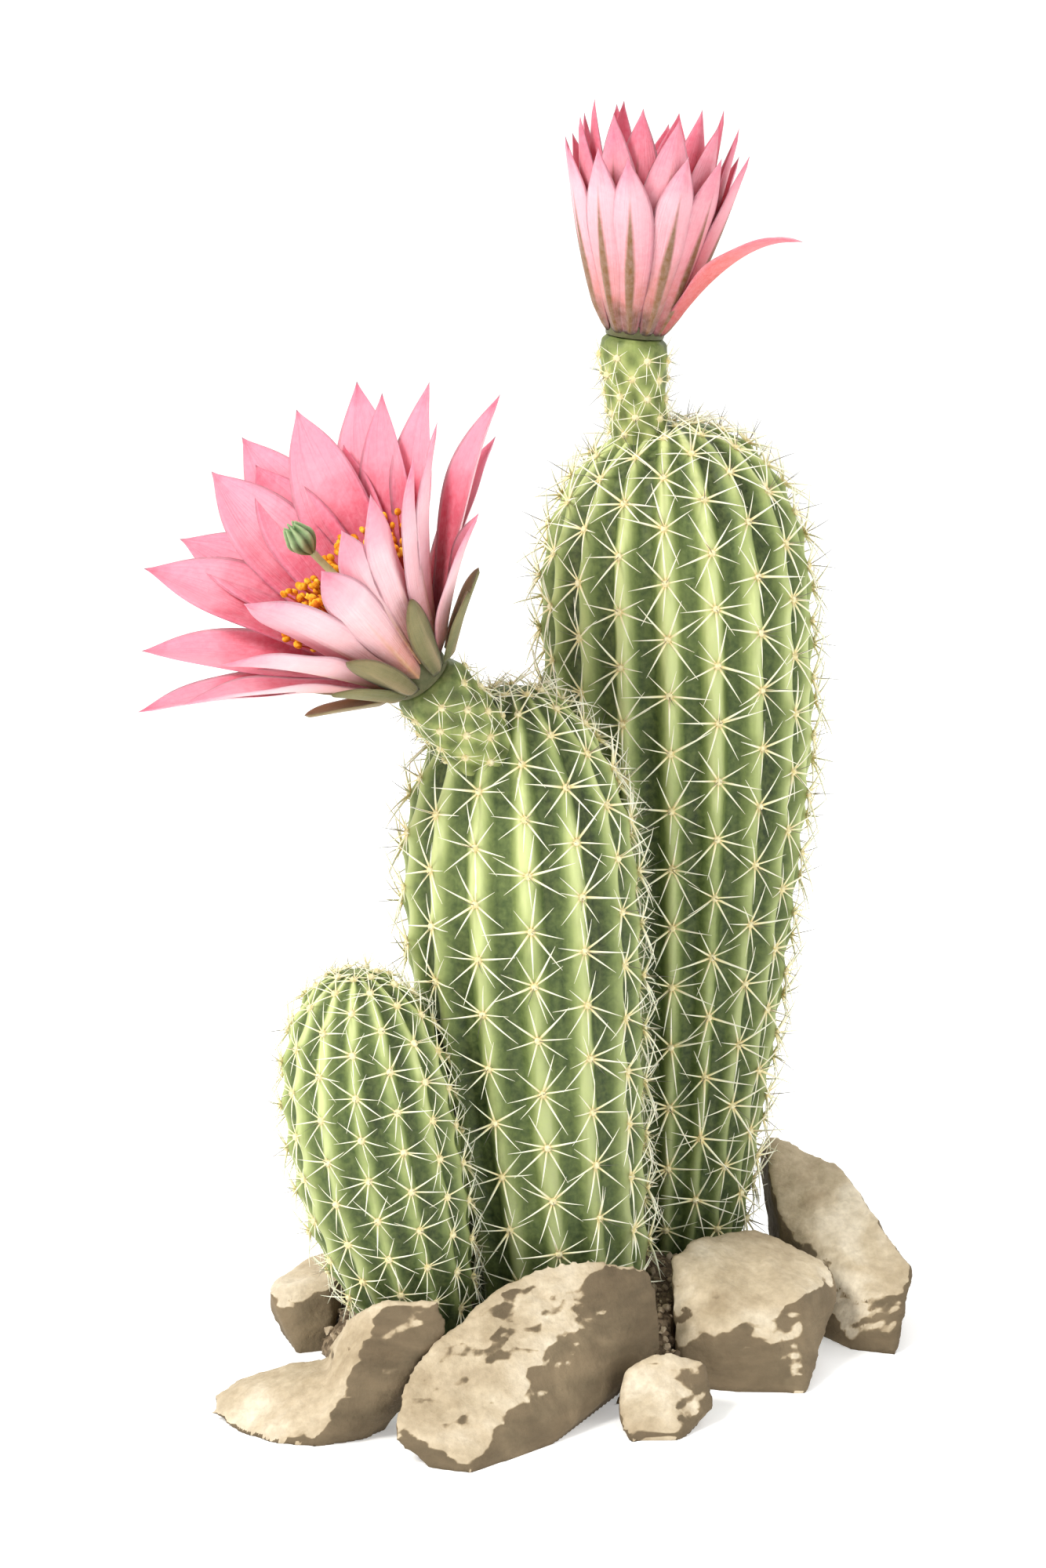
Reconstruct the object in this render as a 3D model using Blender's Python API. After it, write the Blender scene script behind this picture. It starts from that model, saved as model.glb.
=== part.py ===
# Hedgehog cactus: three ribbed, spiny stems in a bed of grit held by stones, with two pink blooms.
# Metres, +Z up. The origin is on the flat underside of the bed, below the middle stem.
# The front of the clump faces -Y.

import math
import random

import bmesh
import bpy
import numpy as np
from mathutils import Matrix, Vector, noise
from mathutils.bvhtree import BVHTree

MM = 0.001

# Clearances
TOUCH_GAP = 0.35 * MM  # between two pieces that meet
SEAT_GAP = 0.45 * MM  # between a flower tube and the stem that it stands on
SPINE_GAP = 1.0 * MM  # between a spine and anything that it passes

# Ribs and areoles
COLUMNS_PER_RIB = 2
TUBE_COLUMNS_PER_RIB = 3
CUSHION_RADIUS = 0.85 * MM
CUSHION_HEIGHT = 0.9 * MM
AREOLE_GAP = 4.2 * MM  # least distance between two areoles
SPINE_TILT = (13.0, 29.0)  # degrees above the skin
SPINE_SWING = 11.0  # degrees to either side of its place in the star
SPINE_SPREAD = (0.74, 1.06)  # shortest and longest, as a share of the stem's spine length
SPINE_TRIES = 14

# Stems: apex, bend and foot are the points of a curved centre line, in millimetres.
# dome is the height over which the top rounds off, and taper the share lost at the foot.
STEMS = {
    "stem_tall": {
        "apex": (35.0, 33.0, 221.5), "bend": (42.0, 30.0, 130.0), "foot": (36.5, 23.0, 6.0),
        "radius": 33.0, "dome": 50.0, "fullness": 2.15, "taper_from": 82.0, "taper": 0.50,
        "taper_power": 1.15, "ribs": 18, "rows": 15, "rib_depth": 0.115, "spine": 11.0, "turn": 4.0,
    },
    "stem_middle": {
        "apex": (-2.2, -20.0, 166.0), "bend": (-1.5, -17.5, 90.0), "foot": (10.0, -14.0, 6.0),
        "radius": 27.6, "dome": 50.0, "fullness": 2.0, "taper_from": 62.0, "taper": 0.24,
        "taper_power": 1.3, "ribs": 14, "rows": 11, "rib_depth": 0.115, "spine": 10.5, "turn": -8.0,
    },
    "stem_small": {
        "apex": (-38.5, -42.5, 103.5), "bend": (-37.5, -40.0, 56.0), "foot": (-19.5, -37.5, 6.0),
        "radius": 19.6, "dome": 36.0, "fullness": 2.2, "taper_from": 50.0, "taper": 0.58,
        "taper_power": 1.6, "ribs": 14, "rows": 7, "rib_depth": 0.105, "spine": 8.0, "turn": 10.0,
    },
}
SKIN = (0.135, 0.235, 0.055)

# Flower tubes: green, spiny, each growing out of a stem. rings are (depth below the top, radius),
# and sway is how far the foot stands aside from the axis of the mouth.
TUBES = {
    "tube_upright": {
        "top": (26.8, 27.0, 242.6), "axis": (0.10, -0.03, 0.994), "sway": (4.6, 1.0),
        "stem": "stem_tall",
        "rings": ((0.0, 7.9), (3.2, 8.4), (8.2, 8.1), (13.4, 7.6), (18.6, 7.4), (27.0, 7.0)),
        "ribs": 7, "rib_depth": 0.09, "spine": 6.2, "areole_rows": (2, 3, 4), "turn": 8.0,
    },
    "tube_open": {
        "top": (-22.7, -36.0, 170.6), "axis": (-0.600, -0.262, 0.756), "sway": (0.0, 0.0),
        "stem": "stem_middle",
        "rings": ((0.0, 8.1), (3.2, 8.9), (8.4, 9.1), (13.6, 8.9), (19.0, 8.5), (31.0, 7.8)),
        "ribs": 7, "rib_depth": 0.09, "spine": 6.4, "areole_rows": (2, 3, 4), "turn": 0.0,
    },
}
TUBE_SKIN = (0.16, 0.25, 0.06)

# Blooms: sizes in millimetres, angles in degrees from the bloom's axis.
# Heights are above the tube's top face.
CUP = {"floor": 2.0, "height": 7.0, "foot_radius": 7.0, "mouth_radius": 8.2, "wall": 1.35}
COLLAR = {"inner": 7.75, "outer": 8.9, "height": 2.8}
DISC = {"inner": 1.9, "outer": 5.2, "floor": 2.4, "height": 1.8}
PETAL_STATIONS = (0.0, 0.07, 0.3, 0.56, 0.8, 1.0)
PETAL_RIB = 1.0  # thickness at the middle line

# The open bloom's petals grow on three rings, each with the radius and height of the roots.
# One petal is its ring, azimuth, lean at the root, length and width.
OPEN_RINGS = ((7.2, 3.2), (6.9, 4.4), (6.6, 5.0))
OPEN_PETALS = (
    (0, 21, 45, 60, 17), (1, 45, 38, 60, 17), (1, 60, 36, 60, 16), (0, 72, 39, 68, 18), (1, 88, 32, 65, 18),
    (0, 104, 34, 70, 18), (0, 120, 31, 67, 18), (1, 131, 36, 62, 18), (0, 146, 34, 65, 18),
    (0, 170, 43, 59, 17), (0, 195, 46, 58, 16), (0, 234, 30, 52, 14), (0, 252, 21, 57, 14),
    (0, 285, 21, 51, 10.5), (1, 303, 19, 52, 10), (0, 322, 19, 55, 10.5), (0, 343, 25, 57, 11),
    (1, 356, 30, 59, 11), (0, 352, 42, 40, 12), (2, 80, 35, 52, 14), (2, 108, 33, 60, 17),
    (0, 33, 50, 50, 15), (0, 96, 49, 52, 15), (0, 158, 50, 52, 15), (0, 210, 40, 50, 14),
)
OPEN_SPREAD = 14.0  # how much further a petal leans at its tip
OPEN_CURL = 6.0  # and how far its tip curls out past that
NEAR_SIDE = 285.0

# Each layer of the upright bloom: how many, its root's radius and height, length, width, lean at root
# and tip, and how far the tip curls out.
UPRIGHT_LAYERS = (
    {
        "count": 12, "root": (7.3, 1.3), "length": 47.0, "width": 10.8, "lean": (27.0, 8.0), "curl": 9.0,
        "phase": 20.0,
    },
    {
        "count": 9, "root": (6.9, 2.0), "length": 51.5, "width": 11.6, "lean": (22.0, 5.0), "curl": 3.0,
        "phase": 0.0,
    },
    {
        "count": 6, "root": (6.6, 2.8), "length": 53.0, "width": 11.5, "lean": (17.0, 1.0), "curl": 0.0,
        "phase": 10.0,
    },
)
UPRIGHT_LOOSE = {
    "azimuth": -30.0, "root": (7.3, 1.2), "length": 46.0, "width": 10.5, "lean": (29.0, 60.0), "curl": 36.0,
}
PETAL_PINK = (0.80, 0.24, 0.33)
SEPAL_OLIVE = (0.19, 0.20, 0.09)
# One sepal is its azimuth, lean and length.
SEPALS = (
    (15, 57, 21), (50, 57, 21), (90, 57, 21), (130, 57, 21), (170, 57, 21), (205, 55, 21),
    (240, 41, 22), (262, 29, 24), (318, 25, 24), (344, 51, 21),
)
SEPAL = {"root": (8.4, 1.7), "width": 7.4, "spread": 2.0, "cup": 0.25, "thickness": 1.1}
# On the side that faces the front the stamens lean less, to the share near_lean.
STAMENS = {
    "open": {"count": 24, "length": (26.0, 34.0), "lean": 29.5, "near_lean": 0.42},
    "upright": {"count": 12, "length": (22.0, 28.0), "lean": 4.0, "near_lean": 1.0},
}
ANTHER_RADIUS = 0.95
ANTHER_ORANGE = (0.72, 0.33, 0.03)
PISTIL = {"style_radius": 0.85, "head_radius": 3.5, "head_length": 8.2, "lobes": 8}
PISTIL_HEIGHTS = {"open": 41.0, "upright": 30.0}
PISTIL_GREEN = (0.13, 0.24, 0.09)

# The bed of grit that the stems stand in
BED = {"centre": (6.0, 6.0), "half": (60.0, 57.0), "top": 20.0, "rim": 3.0, "steps": 22}
BED_BROWN = (0.21, 0.155, 0.10)
SOCKET_SIDES = 20
SOCKET_SLACK = 0.6 * MM

# Stones: each is the hull of its corners, or of two sets of corners grown together, in millimetres
STONE_TAN = (0.50, 0.41, 0.29)
STONE_ROUGHNESS = 0.9 * MM
STONE_SEAT_GAP = 1.2 * MM
STONES = {
    "stone_front": [[
        (-4.9, -55, 30.9), (6.0, -46, 34.8), (18.0, -43, 34.1), (30.5, -38, 30.7), (32.4, -40, 25.8),
        (32.0, -42, 11.9), (24.0, -38, 0), (5.9, -73.8, 0), (-11.7, -89.9, 0), (-21.5, -86.2, 0),
        (-28.6, -84, 5.1), (-29.0, -80, 11.0), (-25.4, -72, 18.2), (-13.9, -60, 26.0), (-10, -48, 0),
    ]],
    "stone_front_left": [
        [
            (-31.8, -62.5, 31.3), (-19.3, -62.5, 31.3), (-17.4, -64, 25.2), (-23.8, -69, 18.6),
            (-31.5, -70, 7.0), (-31.5, -62.8, 0), (-36.5, -69.5, 0), (-47.6, -74.2, 0),
            (-45.5, -50, 14.1), (-41, -55, 24.0), (-46, -54, 0), (-26, -60, 5),
        ],
        [
            (-47.6, -74.2, 0), (-56.7, -72.3, 0), (-66.2, -64.7, 0), (-72.5, -58, 1.9),
            (-71.6, -52, 4.2), (-67.8, -44, 4.6), (-55.5, -42, 7.0), (-44.5, -50, 13.0),
            (-37, -66, 0), (-40, -62, 14.0), (-60, -46, 0), (-48, -50, 0),
        ],
    ],
    "stone_left": [[
        (-61.1, 5, 12.5), (-53.8, 8, 16.8), (-46.5, 8, 17.6), (-43.5, 0, 17.2), (-62.6, -8, 13.5),
        (-53.7, -12, 12.5), (-46.5, -11, 16.2), (-57.7, -10, 5.7), (-54.7, -14.6, 0), (-46.5, -12, 0),
        (-58, 10, 4), (-52, 16, 0), (-45, 14, 6), (-60, 2, 0),
    ]],
    "stone_right": [[
        (35.4, -20, 26.9), (45.5, -6, 28.2), (49.4, -4, 28.6), (56.2, -2, 27.1), (64.0, -2, 23.1),
        (73.3, -6, 21.4), (75.8, -10, 18.6), (75.9, -14, 15.2), (70.6, -24, 8.9), (68.5, -30, 3.2),
        (67.2, -41.1, 0), (50.6, -40.1, 0), (38.6, -37.0, 0), (35.6, -34, 10.2), (43.1, -38, 13.5),
        (52.5, -36, 16.3), (66.0, -28, 19.3), (40, -12, 2), (66, -8, 0), (48, -6, 0),
    ]],
    "stone_back_right": [[
        (61.4, 36, 39.4), (68.2, 34, 37.8), (75.0, 32, 34.3), (80.1, 28, 34.1), (81.0, 24, 30.2),
        (83.0, 18, 23.4), (89.2, 8, 17.6), (95.6, 0, 15.7), (94.5, -6, 12.4), (90.8, -15.7, 0),
        (80.2, -12.1, 0), (84.7, -8, 13.1), (80.4, -5, 12.1), (61.5, 46, 28), (66, 52, 10),
        (66, 50, 0), (88, 40, 0), (94, 20, 2), (63.5, 16, 26), (64, 12, 0), (84, 44, 20),
    ]],
    "stone_small": [[
        (21.7, -60, 7.3), (24.1, -58, 12.9), (30.5, -56, 15.4), (34.3, -55, 15.0), (41.5, -54, 11.4),
        (43.4, -56, 8.3), (44.4, -60, 4.1), (40.0, -60.9, 0), (36.0, -70.5, 0), (24.2, -71.4, 0),
        (22.1, -68, 2.4), (27, -50, 9), (38, -48, 8), (28, -50, 0), (40, -49, 0),
    ]],
    "stone_rear": [[
        (6, 52, 0), (12, 46, 14), (22, 50, 20), (36, 51, 21), (46, 52, 13), (50, 58, 0),
        (42, 74, 0), (24, 79, 0), (10, 70, 0), (14, 66, 13), (30, 68, 16), (44, 64, 8), (28, 48, 0),
    ]],
    "stone_rear_left": [[
        (-44, 34, 0), (-40, 31, 11), (-28, 34, 17), (-14, 38, 15), (-4, 46, 6), (-3, 50, 0),
        (-14, 62, 0), (-32, 60, 0), (-43, 48, 0), (-36, 50, 11), (-18, 54, 10), (-24, 33, 0),
    ]],
}
SEED = 7


def clear_scene():
    for obj in list(bpy.data.objects):
        bpy.data.objects.remove(obj, do_unlink=True)
    for collection in list(bpy.data.collections):
        bpy.data.collections.remove(collection)


def new_collection(name, hidden=False):
    collection = bpy.data.collections.new(name)
    collection.hide_render = hidden
    bpy.context.scene.collection.children.link(collection)
    return collection


def new_material(name, colour, roughness):
    material = bpy.data.materials.new(name)
    material.use_nodes = True
    shader = material.node_tree.nodes["Principled BSDF"]
    shader.inputs["Base Color"].default_value = (*colour, 1.0)
    shader.inputs["Roughness"].default_value = roughness
    shader.inputs["Metallic"].default_value = 0.0
    return material


def new_object(name, bm, collection, material=None):
    """An object that holds the bmesh, which is freed."""
    bmesh.ops.recalc_face_normals(bm, faces=bm.faces)
    mesh = bpy.data.meshes.new(name)
    bm.to_mesh(mesh)
    bm.free()
    if material is not None:
        mesh.materials.append(material)
    obj = bpy.data.objects.new(name, mesh)
    collection.objects.link(obj)
    return obj


def add_boolean(obj, operation, target, solver="EXACT"):
    """A Boolean modifier whose target is one object or a whole collection."""
    modifier = obj.modifiers.new(operation.lower(), "BOOLEAN")
    modifier.operation = operation
    modifier.solver = solver
    if isinstance(target, bpy.types.Collection):
        modifier.operand_type = "COLLECTION"
        modifier.collection = target
    else:
        modifier.object = target
    return modifier


def apply_modifiers(obj):
    graph = bpy.context.evaluated_depsgraph_get()
    mesh = bpy.data.meshes.new_from_object(obj.evaluated_get(graph))
    obj.modifiers.clear()
    obj.data = mesh


def make_helper(obj):
    obj.hide_render = True
    obj.display_type = "WIRE"
    return obj


def union_of(name, bodies, collection, material):
    """One object from several closed bodies, joined by one Boolean union."""
    scraps = new_collection(name + "_scraps", hidden=True)
    first = new_object(name, bodies[0], collection, material)
    if len(bodies) == 1:
        return first
    for number, body in enumerate(bodies[1:]):
        new_object(f"{name}_scrap_{number}", body, scraps)
    add_boolean(first, "UNION", scraps)
    apply_modifiers(first)
    for obj in list(scraps.objects):
        bpy.data.objects.remove(obj, do_unlink=True)
    bpy.data.collections.remove(scraps)
    keep_outer_skin(first.data)
    first.data.materials.clear()
    first.data.materials.append(material)
    return first


def keep_outer_skin(mesh):
    """Removes the walls of hollows that the union sealed, and any loose scrap."""
    bm = bmesh.new()
    bm.from_mesh(mesh)
    left = set(bm.faces)
    islands = []
    while left:
        front = [left.pop()]
        island = list(front)
        while front:
            face = front.pop()
            for neighbour in {f for e in face.edges for f in e.link_faces} & left:
                left.remove(neighbour)
                front.append(neighbour)
                island.append(neighbour)
        islands.append(island)
    islands.sort(key=len)
    bmesh.ops.delete(bm, geom=[face for island in islands[:-1] for face in island], context="FACES")
    bm.to_mesh(mesh)
    bm.free()


def vector_mm(values):
    return Vector(values) * MM


def sphere_grid(columns, rows):
    """A sphere primitive, with each point's column and row; row 0 is the top pole."""
    bm = bmesh.new()
    bmesh.ops.create_uvsphere(bm, u_segments=columns, v_segments=rows, radius=1.0)
    places = {}
    for vertex in bm.verts:
        row = round(math.acos(max(-1.0, min(1.0, vertex.co.z))) / math.pi * rows)
        turn = math.atan2(vertex.co.y, vertex.co.x) / math.tau
        places[vertex] = (round(turn * columns) % columns, row)
    return bm, places


def triangulate_evenly(bm):
    bmesh.ops.triangulate(bm, faces=bm.faces[:], quad_method="FIXED", ngon_method="EAR_CLIP")


# Stems and flower tubes

def stem_radius(stem, depth, extra=0.0):
    """Radius of the rib crests at a depth below the apex, both in millimetres."""
    full = Vector(stem["apex"]).z - Vector(stem["foot"]).z
    dome = 1.0
    if depth < stem["dome"]:
        dome = (1.0 - (1.0 - depth / stem["dome"]) ** stem["fullness"]) ** (1.0 / stem["fullness"])
    below = max(0.0, depth - stem["taper_from"]) / (full - stem["taper_from"])
    return stem["radius"] * dome * (1.0 - stem["taper"] * below ** stem["taper_power"]) + extra


def stem_profile(stem, extra=0.0):
    """Depth, radius and length along the skin, from the apex to the foot."""
    full = Vector(stem["apex"]).z - Vector(stem["foot"]).z
    depth = full * np.linspace(0.0, 1.0, 500) ** 2
    radius = np.array([stem_radius(stem, d, extra) for d in depth])
    radius[0] = 0.0
    skin = np.concatenate([[0.0], np.cumsum(np.hypot(np.diff(depth), np.diff(radius)))])
    return depth, radius, skin


def stem_frame(stem, share):
    """Centre and side directions of the stem's centre line at a share of its length."""
    apex, bend, foot = (vector_mm(stem[k]) for k in ("apex", "bend", "foot"))
    centre = apex * (1 - share) ** 2 + bend * 2 * share * (1 - share) + foot * share ** 2
    upward = ((apex - bend) * (1 - share) + (bend - foot) * share).normalized()
    side = (Vector((1, 0, 0)) - upward * upward.x).normalized()
    return centre, side, upward.cross(side)


def rib_share(phase):
    """0 on a rib's crest and 1 in the furrow, where phase runs from 0 to 1 across one rib."""
    return min(1.0, 0.62 * (1.0 - math.cos(math.tau * phase)))


def ribbed_stem(stem, extra=0.0, smooth_sides=None):
    """The stem's closed body, and the points on its crests that carry areoles."""
    per_rib = COLUMNS_PER_RIB
    columns = smooth_sides or stem["ribs"] * per_rib
    rows = stem["rows"]
    depth, radius, skin = stem_profile(stem, extra / MM)
    side_end = skin[-1]
    first = 0.7 * side_end / rows
    pitch = (side_end - first) / (rows - 1)
    bm, places = sphere_grid(columns, rows + 1)
    carriers = []
    for vertex, (column, row) in places.items():
        if row == 0:
            at = 0.0
        elif row >= rows:
            at = side_end
        else:
            at = first + pitch * (row - 1)
        down = float(np.interp(at, skin, depth))
        reach = float(np.interp(at, skin, radius))
        if row == rows + 1 or row == 0:
            reach = 0.0
        phase = (column / per_rib) % 1.0
        groove = 0.0 if smooth_sides else stem["rib_depth"] * rib_share(phase)
        angle = math.tau * column / columns + math.radians(stem["turn"])
        centre, side, away = stem_frame(stem, down / depth[-1])
        reach *= MM * (1.0 - groove)
        vertex.co = centre + (side * math.cos(angle) + away * math.sin(angle)) * reach
        # Every second row of each rib carries areoles, and neighbouring ribs take turns.
        if not smooth_sides and phase == 0.0 and 0 < row < rows and (row + column // per_rib) % 2:
            carriers.append(vertex)
    triangulate_evenly(bm)
    bm.normal_update()
    return bm, carriers


def swollen_body(bm, gap):
    """A copy of a body, larger by the gap."""
    copy = bm.copy()
    copy.normal_update()
    for vertex, normal in [(v, v.normal.copy()) for v in copy.verts]:
        vertex.co += normal * gap
    return copy


def axis_frame(axis):
    """Rotation whose Z is the axis and whose X leans to world X."""
    up = Vector(axis).normalized()
    side = (Vector((1, 0, 0)) - up * up.x).normalized()
    return Matrix((side, up.cross(side), up)).transposed()


def ribbed_tube(tube):
    """The flower tube's closed body, and the points that carry areoles."""
    rings = tube["rings"]
    columns = tube["ribs"] * TUBE_COLUMNS_PER_RIB
    rows = len(rings)
    turn = axis_frame(tube["axis"])
    top = vector_mm(tube["top"])
    bm, places = sphere_grid(columns, rows + 1)
    carriers = []
    for vertex, (column, row) in places.items():
        down, reach = rings[min(max(row - 1, 0), rows - 1)]
        if row in (0, rows + 1):
            reach = 0.0
        phase = (column / TUBE_COLUMNS_PER_RIB) % 1.0
        groove = tube["rib_depth"] * rib_share(phase) if row > 1 else 0.0
        # Every second row of areoles stands half a rib round from the one above.
        angle = math.tau * (column + 1.5 * (row % 2)) / columns + math.radians(tube["turn"])
        reach *= 1.0 - groove
        aside = Vector((*tube["sway"], 0)) * (down / rings[-1][0]) ** 1.5
        local = Vector((math.cos(angle) * reach, math.sin(angle) * reach, -down)) + aside
        vertex.co = top + turn @ (local * MM)
        if phase == 0.0 and row - 1 in tube["areole_rows"]:
            carriers.append(vertex)
    triangulate_evenly(bm)
    bm.normal_update()
    return bm, carriers


def tree_of(obj):
    """A search tree over the object's faces in world space."""
    graph = bpy.context.evaluated_depsgraph_get()
    evaluated = obj.evaluated_get(graph)
    mesh = evaluated.to_mesh()
    points = [obj.matrix_world @ v.co for v in mesh.vertices]
    faces = [tuple(p.vertices) for p in mesh.polygons]
    tree = BVHTree.FromPolygons(points, faces)
    evaluated.to_mesh_clear()
    return tree


def nearest_between(start, end, starts, ends):
    """Distance from one segment to each of many, sampled along the one and exact on the others."""
    if not len(starts):
        return np.array([1.0])
    span = ends - starts
    length = np.einsum("ij,ij->i", span, span)
    best = np.full(len(starts), 1.0)
    for share in np.linspace(0.0, 1.0, 9):
        point = start + (end - start) * share
        along = np.clip(np.einsum("ij,ij->i", point - starts, span) / length, 0.0, 1.0)
        gap = np.linalg.norm(starts + span * along[:, None] - point, axis=1)
        best = np.minimum(best, gap)
    return best


class SpineField:
    """Every spine so far, so that none crosses another or enters a neighbour."""

    def __init__(self):
        self.starts = np.zeros((0, 3))
        self.ends = np.zeros((0, 3))
        self.owners = np.zeros(0, int)
        self.cushions = 0

    def free(self, start, end, owner):
        others = self.owners != owner
        gaps = nearest_between(np.array(start), np.array(end), self.starts[others], self.ends[others])
        return gaps.min() > SPINE_GAP

    def add(self, start, end, owner):
        self.starts = np.vstack([self.starts, start])
        self.ends = np.vstack([self.ends, end])
        self.owners = np.append(self.owners, owner)


def is_outside(tree, point):
    """True where a slanted ray crosses the closed body's skin an even number of times."""
    direction = Vector((0.31, -0.17, 0.93)).normalized()
    crossings = 0
    spot = tree.ray_cast(point, direction)[0]
    while spot is not None:
        crossings += 1
        spot = tree.ray_cast(spot + direction * 0.001 * MM, direction)[0]
    return crossings % 2 == 0


def clear_of(tree, start, end, margin):
    direction = end - start
    if tree.ray_cast(start, direction.normalized(), direction.length + margin)[0] is not None:
        return False
    return all(
        tree.find_nearest(start.lerp(end, share), margin)[0] is None
        for share in (0.0, 0.35, 0.7, 1.0)
    )


def above_own_skin(tree, start, end):
    for share in (0.45, 0.75, 1.0):
        point = start.lerp(end, share)
        spot, normal, _, gap = tree.find_nearest(point)
        if (point - spot).dot(normal) < 0.0 or gap < 0.9 * SPINE_GAP:
            return False
    return True


def spaced(carriers, gap):
    """The carriers that stand well apart, taken in order; near the apex the ribs run together."""
    kept = []
    for vertex in sorted(carriers, key=lambda v: -v.co.z):
        if all((vertex.co - other.co).length > gap for other in kept):
            if min(e.calc_length() for e in vertex.link_edges) > 1.3 * CUSHION_RADIUS:
                kept.append(vertex)
    return kept


def cushion_faces(bm, carriers):
    """Cuts each carrier's corner off, so that a small many-sided face stands in its place."""
    marks = [(v.co.copy(), v.normal.copy()) for v in carriers]
    bmesh.ops.bevel(
        bm, geom=carriers, offset=CUSHION_RADIUS, offset_type="OFFSET", segments=1,
        profile=0.5, affect="VERTICES", clamp_overlap=True,
    )
    found = {}
    for face in bm.faces:
        centre = face.calc_center_median()
        if len(face.verts) < 4:
            continue
        for number, (place, _) in enumerate(marks):
            if (centre - place).length < CUSHION_RADIUS and all(
                (v.co - place).length < 1.6 * CUSHION_RADIUS for v in face.verts
            ):
                found[number] = face
    return [(face, *marks[number]) for number, face in sorted(found.items())]


def round_off(face, place, normal):
    """Moves the face's corners onto an even circle round its areole, and gives the circle's axes."""
    up = (Vector((0, 0, 1)) - normal * normal.z).normalized()
    side = up.cross(normal)
    angles = {v: math.atan2((v.co - place).dot(up), (v.co - place).dot(side)) for v in face.verts}
    order = sorted(face.verts, key=lambda v: angles[v])
    step = math.tau / len(order)
    drift = [angles[v] - number * step for number, v in enumerate(order)]
    shift = math.atan2(sum(map(math.sin, drift)), sum(map(math.cos, drift)))
    for number, vertex in enumerate(order):
        angle = number * step + shift
        vertex.co = place + (side * math.cos(angle) + up * math.sin(angle)) * CUSHION_RADIUS
    return side, up


def in_order(facets, place, side, up):
    """The facets by their angle round the areole, so that every run draws alike."""
    def angle(facet):
        away = facet.calc_center_median() - place
        return math.atan2(away.dot(up), away.dot(side))
    return sorted(facets, key=angle)


def spine_end(start, outward, normal, length, draw):
    """A seeded try at where a spine ends."""
    tilt = math.radians(draw.uniform(*SPINE_TILT))
    swing = math.radians(draw.uniform(-SPINE_SWING, SPINE_SWING))
    flat = Matrix.Rotation(swing, 3, normal) @ outward
    reach = length * MM * draw.uniform(*SPINE_SPREAD)
    return start + (flat * math.cos(tilt) + normal * math.sin(tilt)) * reach


def grow_spines(bm, carriers, length, own, others, field, draw):
    """A raised cushion at each carrier, with a spine drawn out of each of its facets."""
    grown = 0
    for face, place, normal in cushion_faces(bm, carriers):
        side, up = round_off(face, place, normal)
        fan = bmesh.ops.poke(bm, faces=[face])
        fan["verts"][0].co = place + normal * CUSHION_HEIGHT
        field.cushions += 1
        for facet in in_order(fan["faces"], place, side, up):
            start = facet.calc_center_median()
            outward = start - place
            outward = (outward - normal * outward.dot(normal)).normalized()
            for _ in range(SPINE_TRIES):
                end = spine_end(start, outward, normal, length, draw)
                if (
                    field.free(start, end, field.cushions)
                    and above_own_skin(own, start, end)
                    and all(clear_of(tree, start, end, SPINE_GAP) for tree in others)
                ):
                    spine = bmesh.ops.poke(bm, faces=[facet])
                    spine["verts"][0].co = end
                    field.add(start, end, field.cushions)
                    grown += 1
                    break
    triangulate_evenly(bm)
    return grown


# Blooms

def blade_width(share):
    """Half-width of a petal as a share of its widest, from its root to its pointed tip."""
    widest = 0.6
    if share < widest:
        return 0.30 + 0.70 * math.sin(0.5 * math.pi * share / widest)
    return (1.0 - ((share - widest) / (1.0 - widest)) ** 2.2) ** 1.3


def blade(azimuth, root, length, width, lean, curl, cup=0.3, thickness=PETAL_RIB):
    """A petal or sepal: four long edges, left, inner, right and keel, that meet at root and tip."""
    stations = PETAL_STATIONS
    bm, places = sphere_grid(4, len(stations) - 1)
    turn = Matrix.Rotation(math.radians(azimuth), 3, "Z")
    shares = np.linspace(0.0, 1.0, 101)
    angles = np.radians(lean[0] + (lean[1] - lean[0]) * shares + curl * shares ** 4)
    reach = root[0] + length * np.concatenate([[0], np.cumsum(np.sin(angles[1:])) / 100])
    height = root[1] + length * np.concatenate([[0], np.cumsum(np.cos(angles[1:])) / 100])
    for vertex, (column, row) in places.items():
        share = stations[row]
        angle = float(np.interp(share, shares, angles))
        centre = Vector((float(np.interp(share, shares, reach)), 0, float(np.interp(share, shares, height))))
        outward = Vector((math.cos(angle), 0, -math.sin(angle)))
        half = 0.5 * width * blade_width(share) if 0 < row < len(stations) - 1 else 0.0
        across = {0: 0, 1: 1, 2: 0, 3: -1}[column]
        offset = Vector((0, half * across, 0)) - outward * (cup * half * abs(across))
        if column == 0 and half:
            offset += outward * thickness
        vertex.co = turn @ ((centre + offset) * MM)
    triangulate_evenly(bm)
    return bm


def turned(profile, steps=16):
    """A closed turned body from a loop or line of (radius, height) points, in millimetres."""
    bm = bmesh.new()
    points = [bm.verts.new((r * MM, 0, z * MM)) for r, z in profile]
    edges = [bm.edges.new(pair) for pair in zip(points, points[1:])]
    if profile[0][0] > 0:
        edges.append(bm.edges.new((points[-1], points[0])))
    bmesh.ops.spin(
        bm, geom=points + edges, cent=(0, 0, 0), axis=(0, 0, 1), angle=math.tau,
        steps=steps, use_merge=True, use_duplicate=False,
    )
    bmesh.ops.remove_doubles(bm, verts=bm.verts, dist=0.002 * MM)
    return bm


def cup_body():
    """The small cup at the bloom's base that the petals grow from."""
    foot, mouth, wall = CUP["foot_radius"], CUP["mouth_radius"], CUP["wall"]
    base = TOUCH_GAP / MM
    return turned([
        (0, base), (foot, base), (mouth, CUP["height"]), (mouth - wall, CUP["height"]),
        (foot - wall, CUP["floor"]), (0, CUP["floor"]),
    ])


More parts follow.
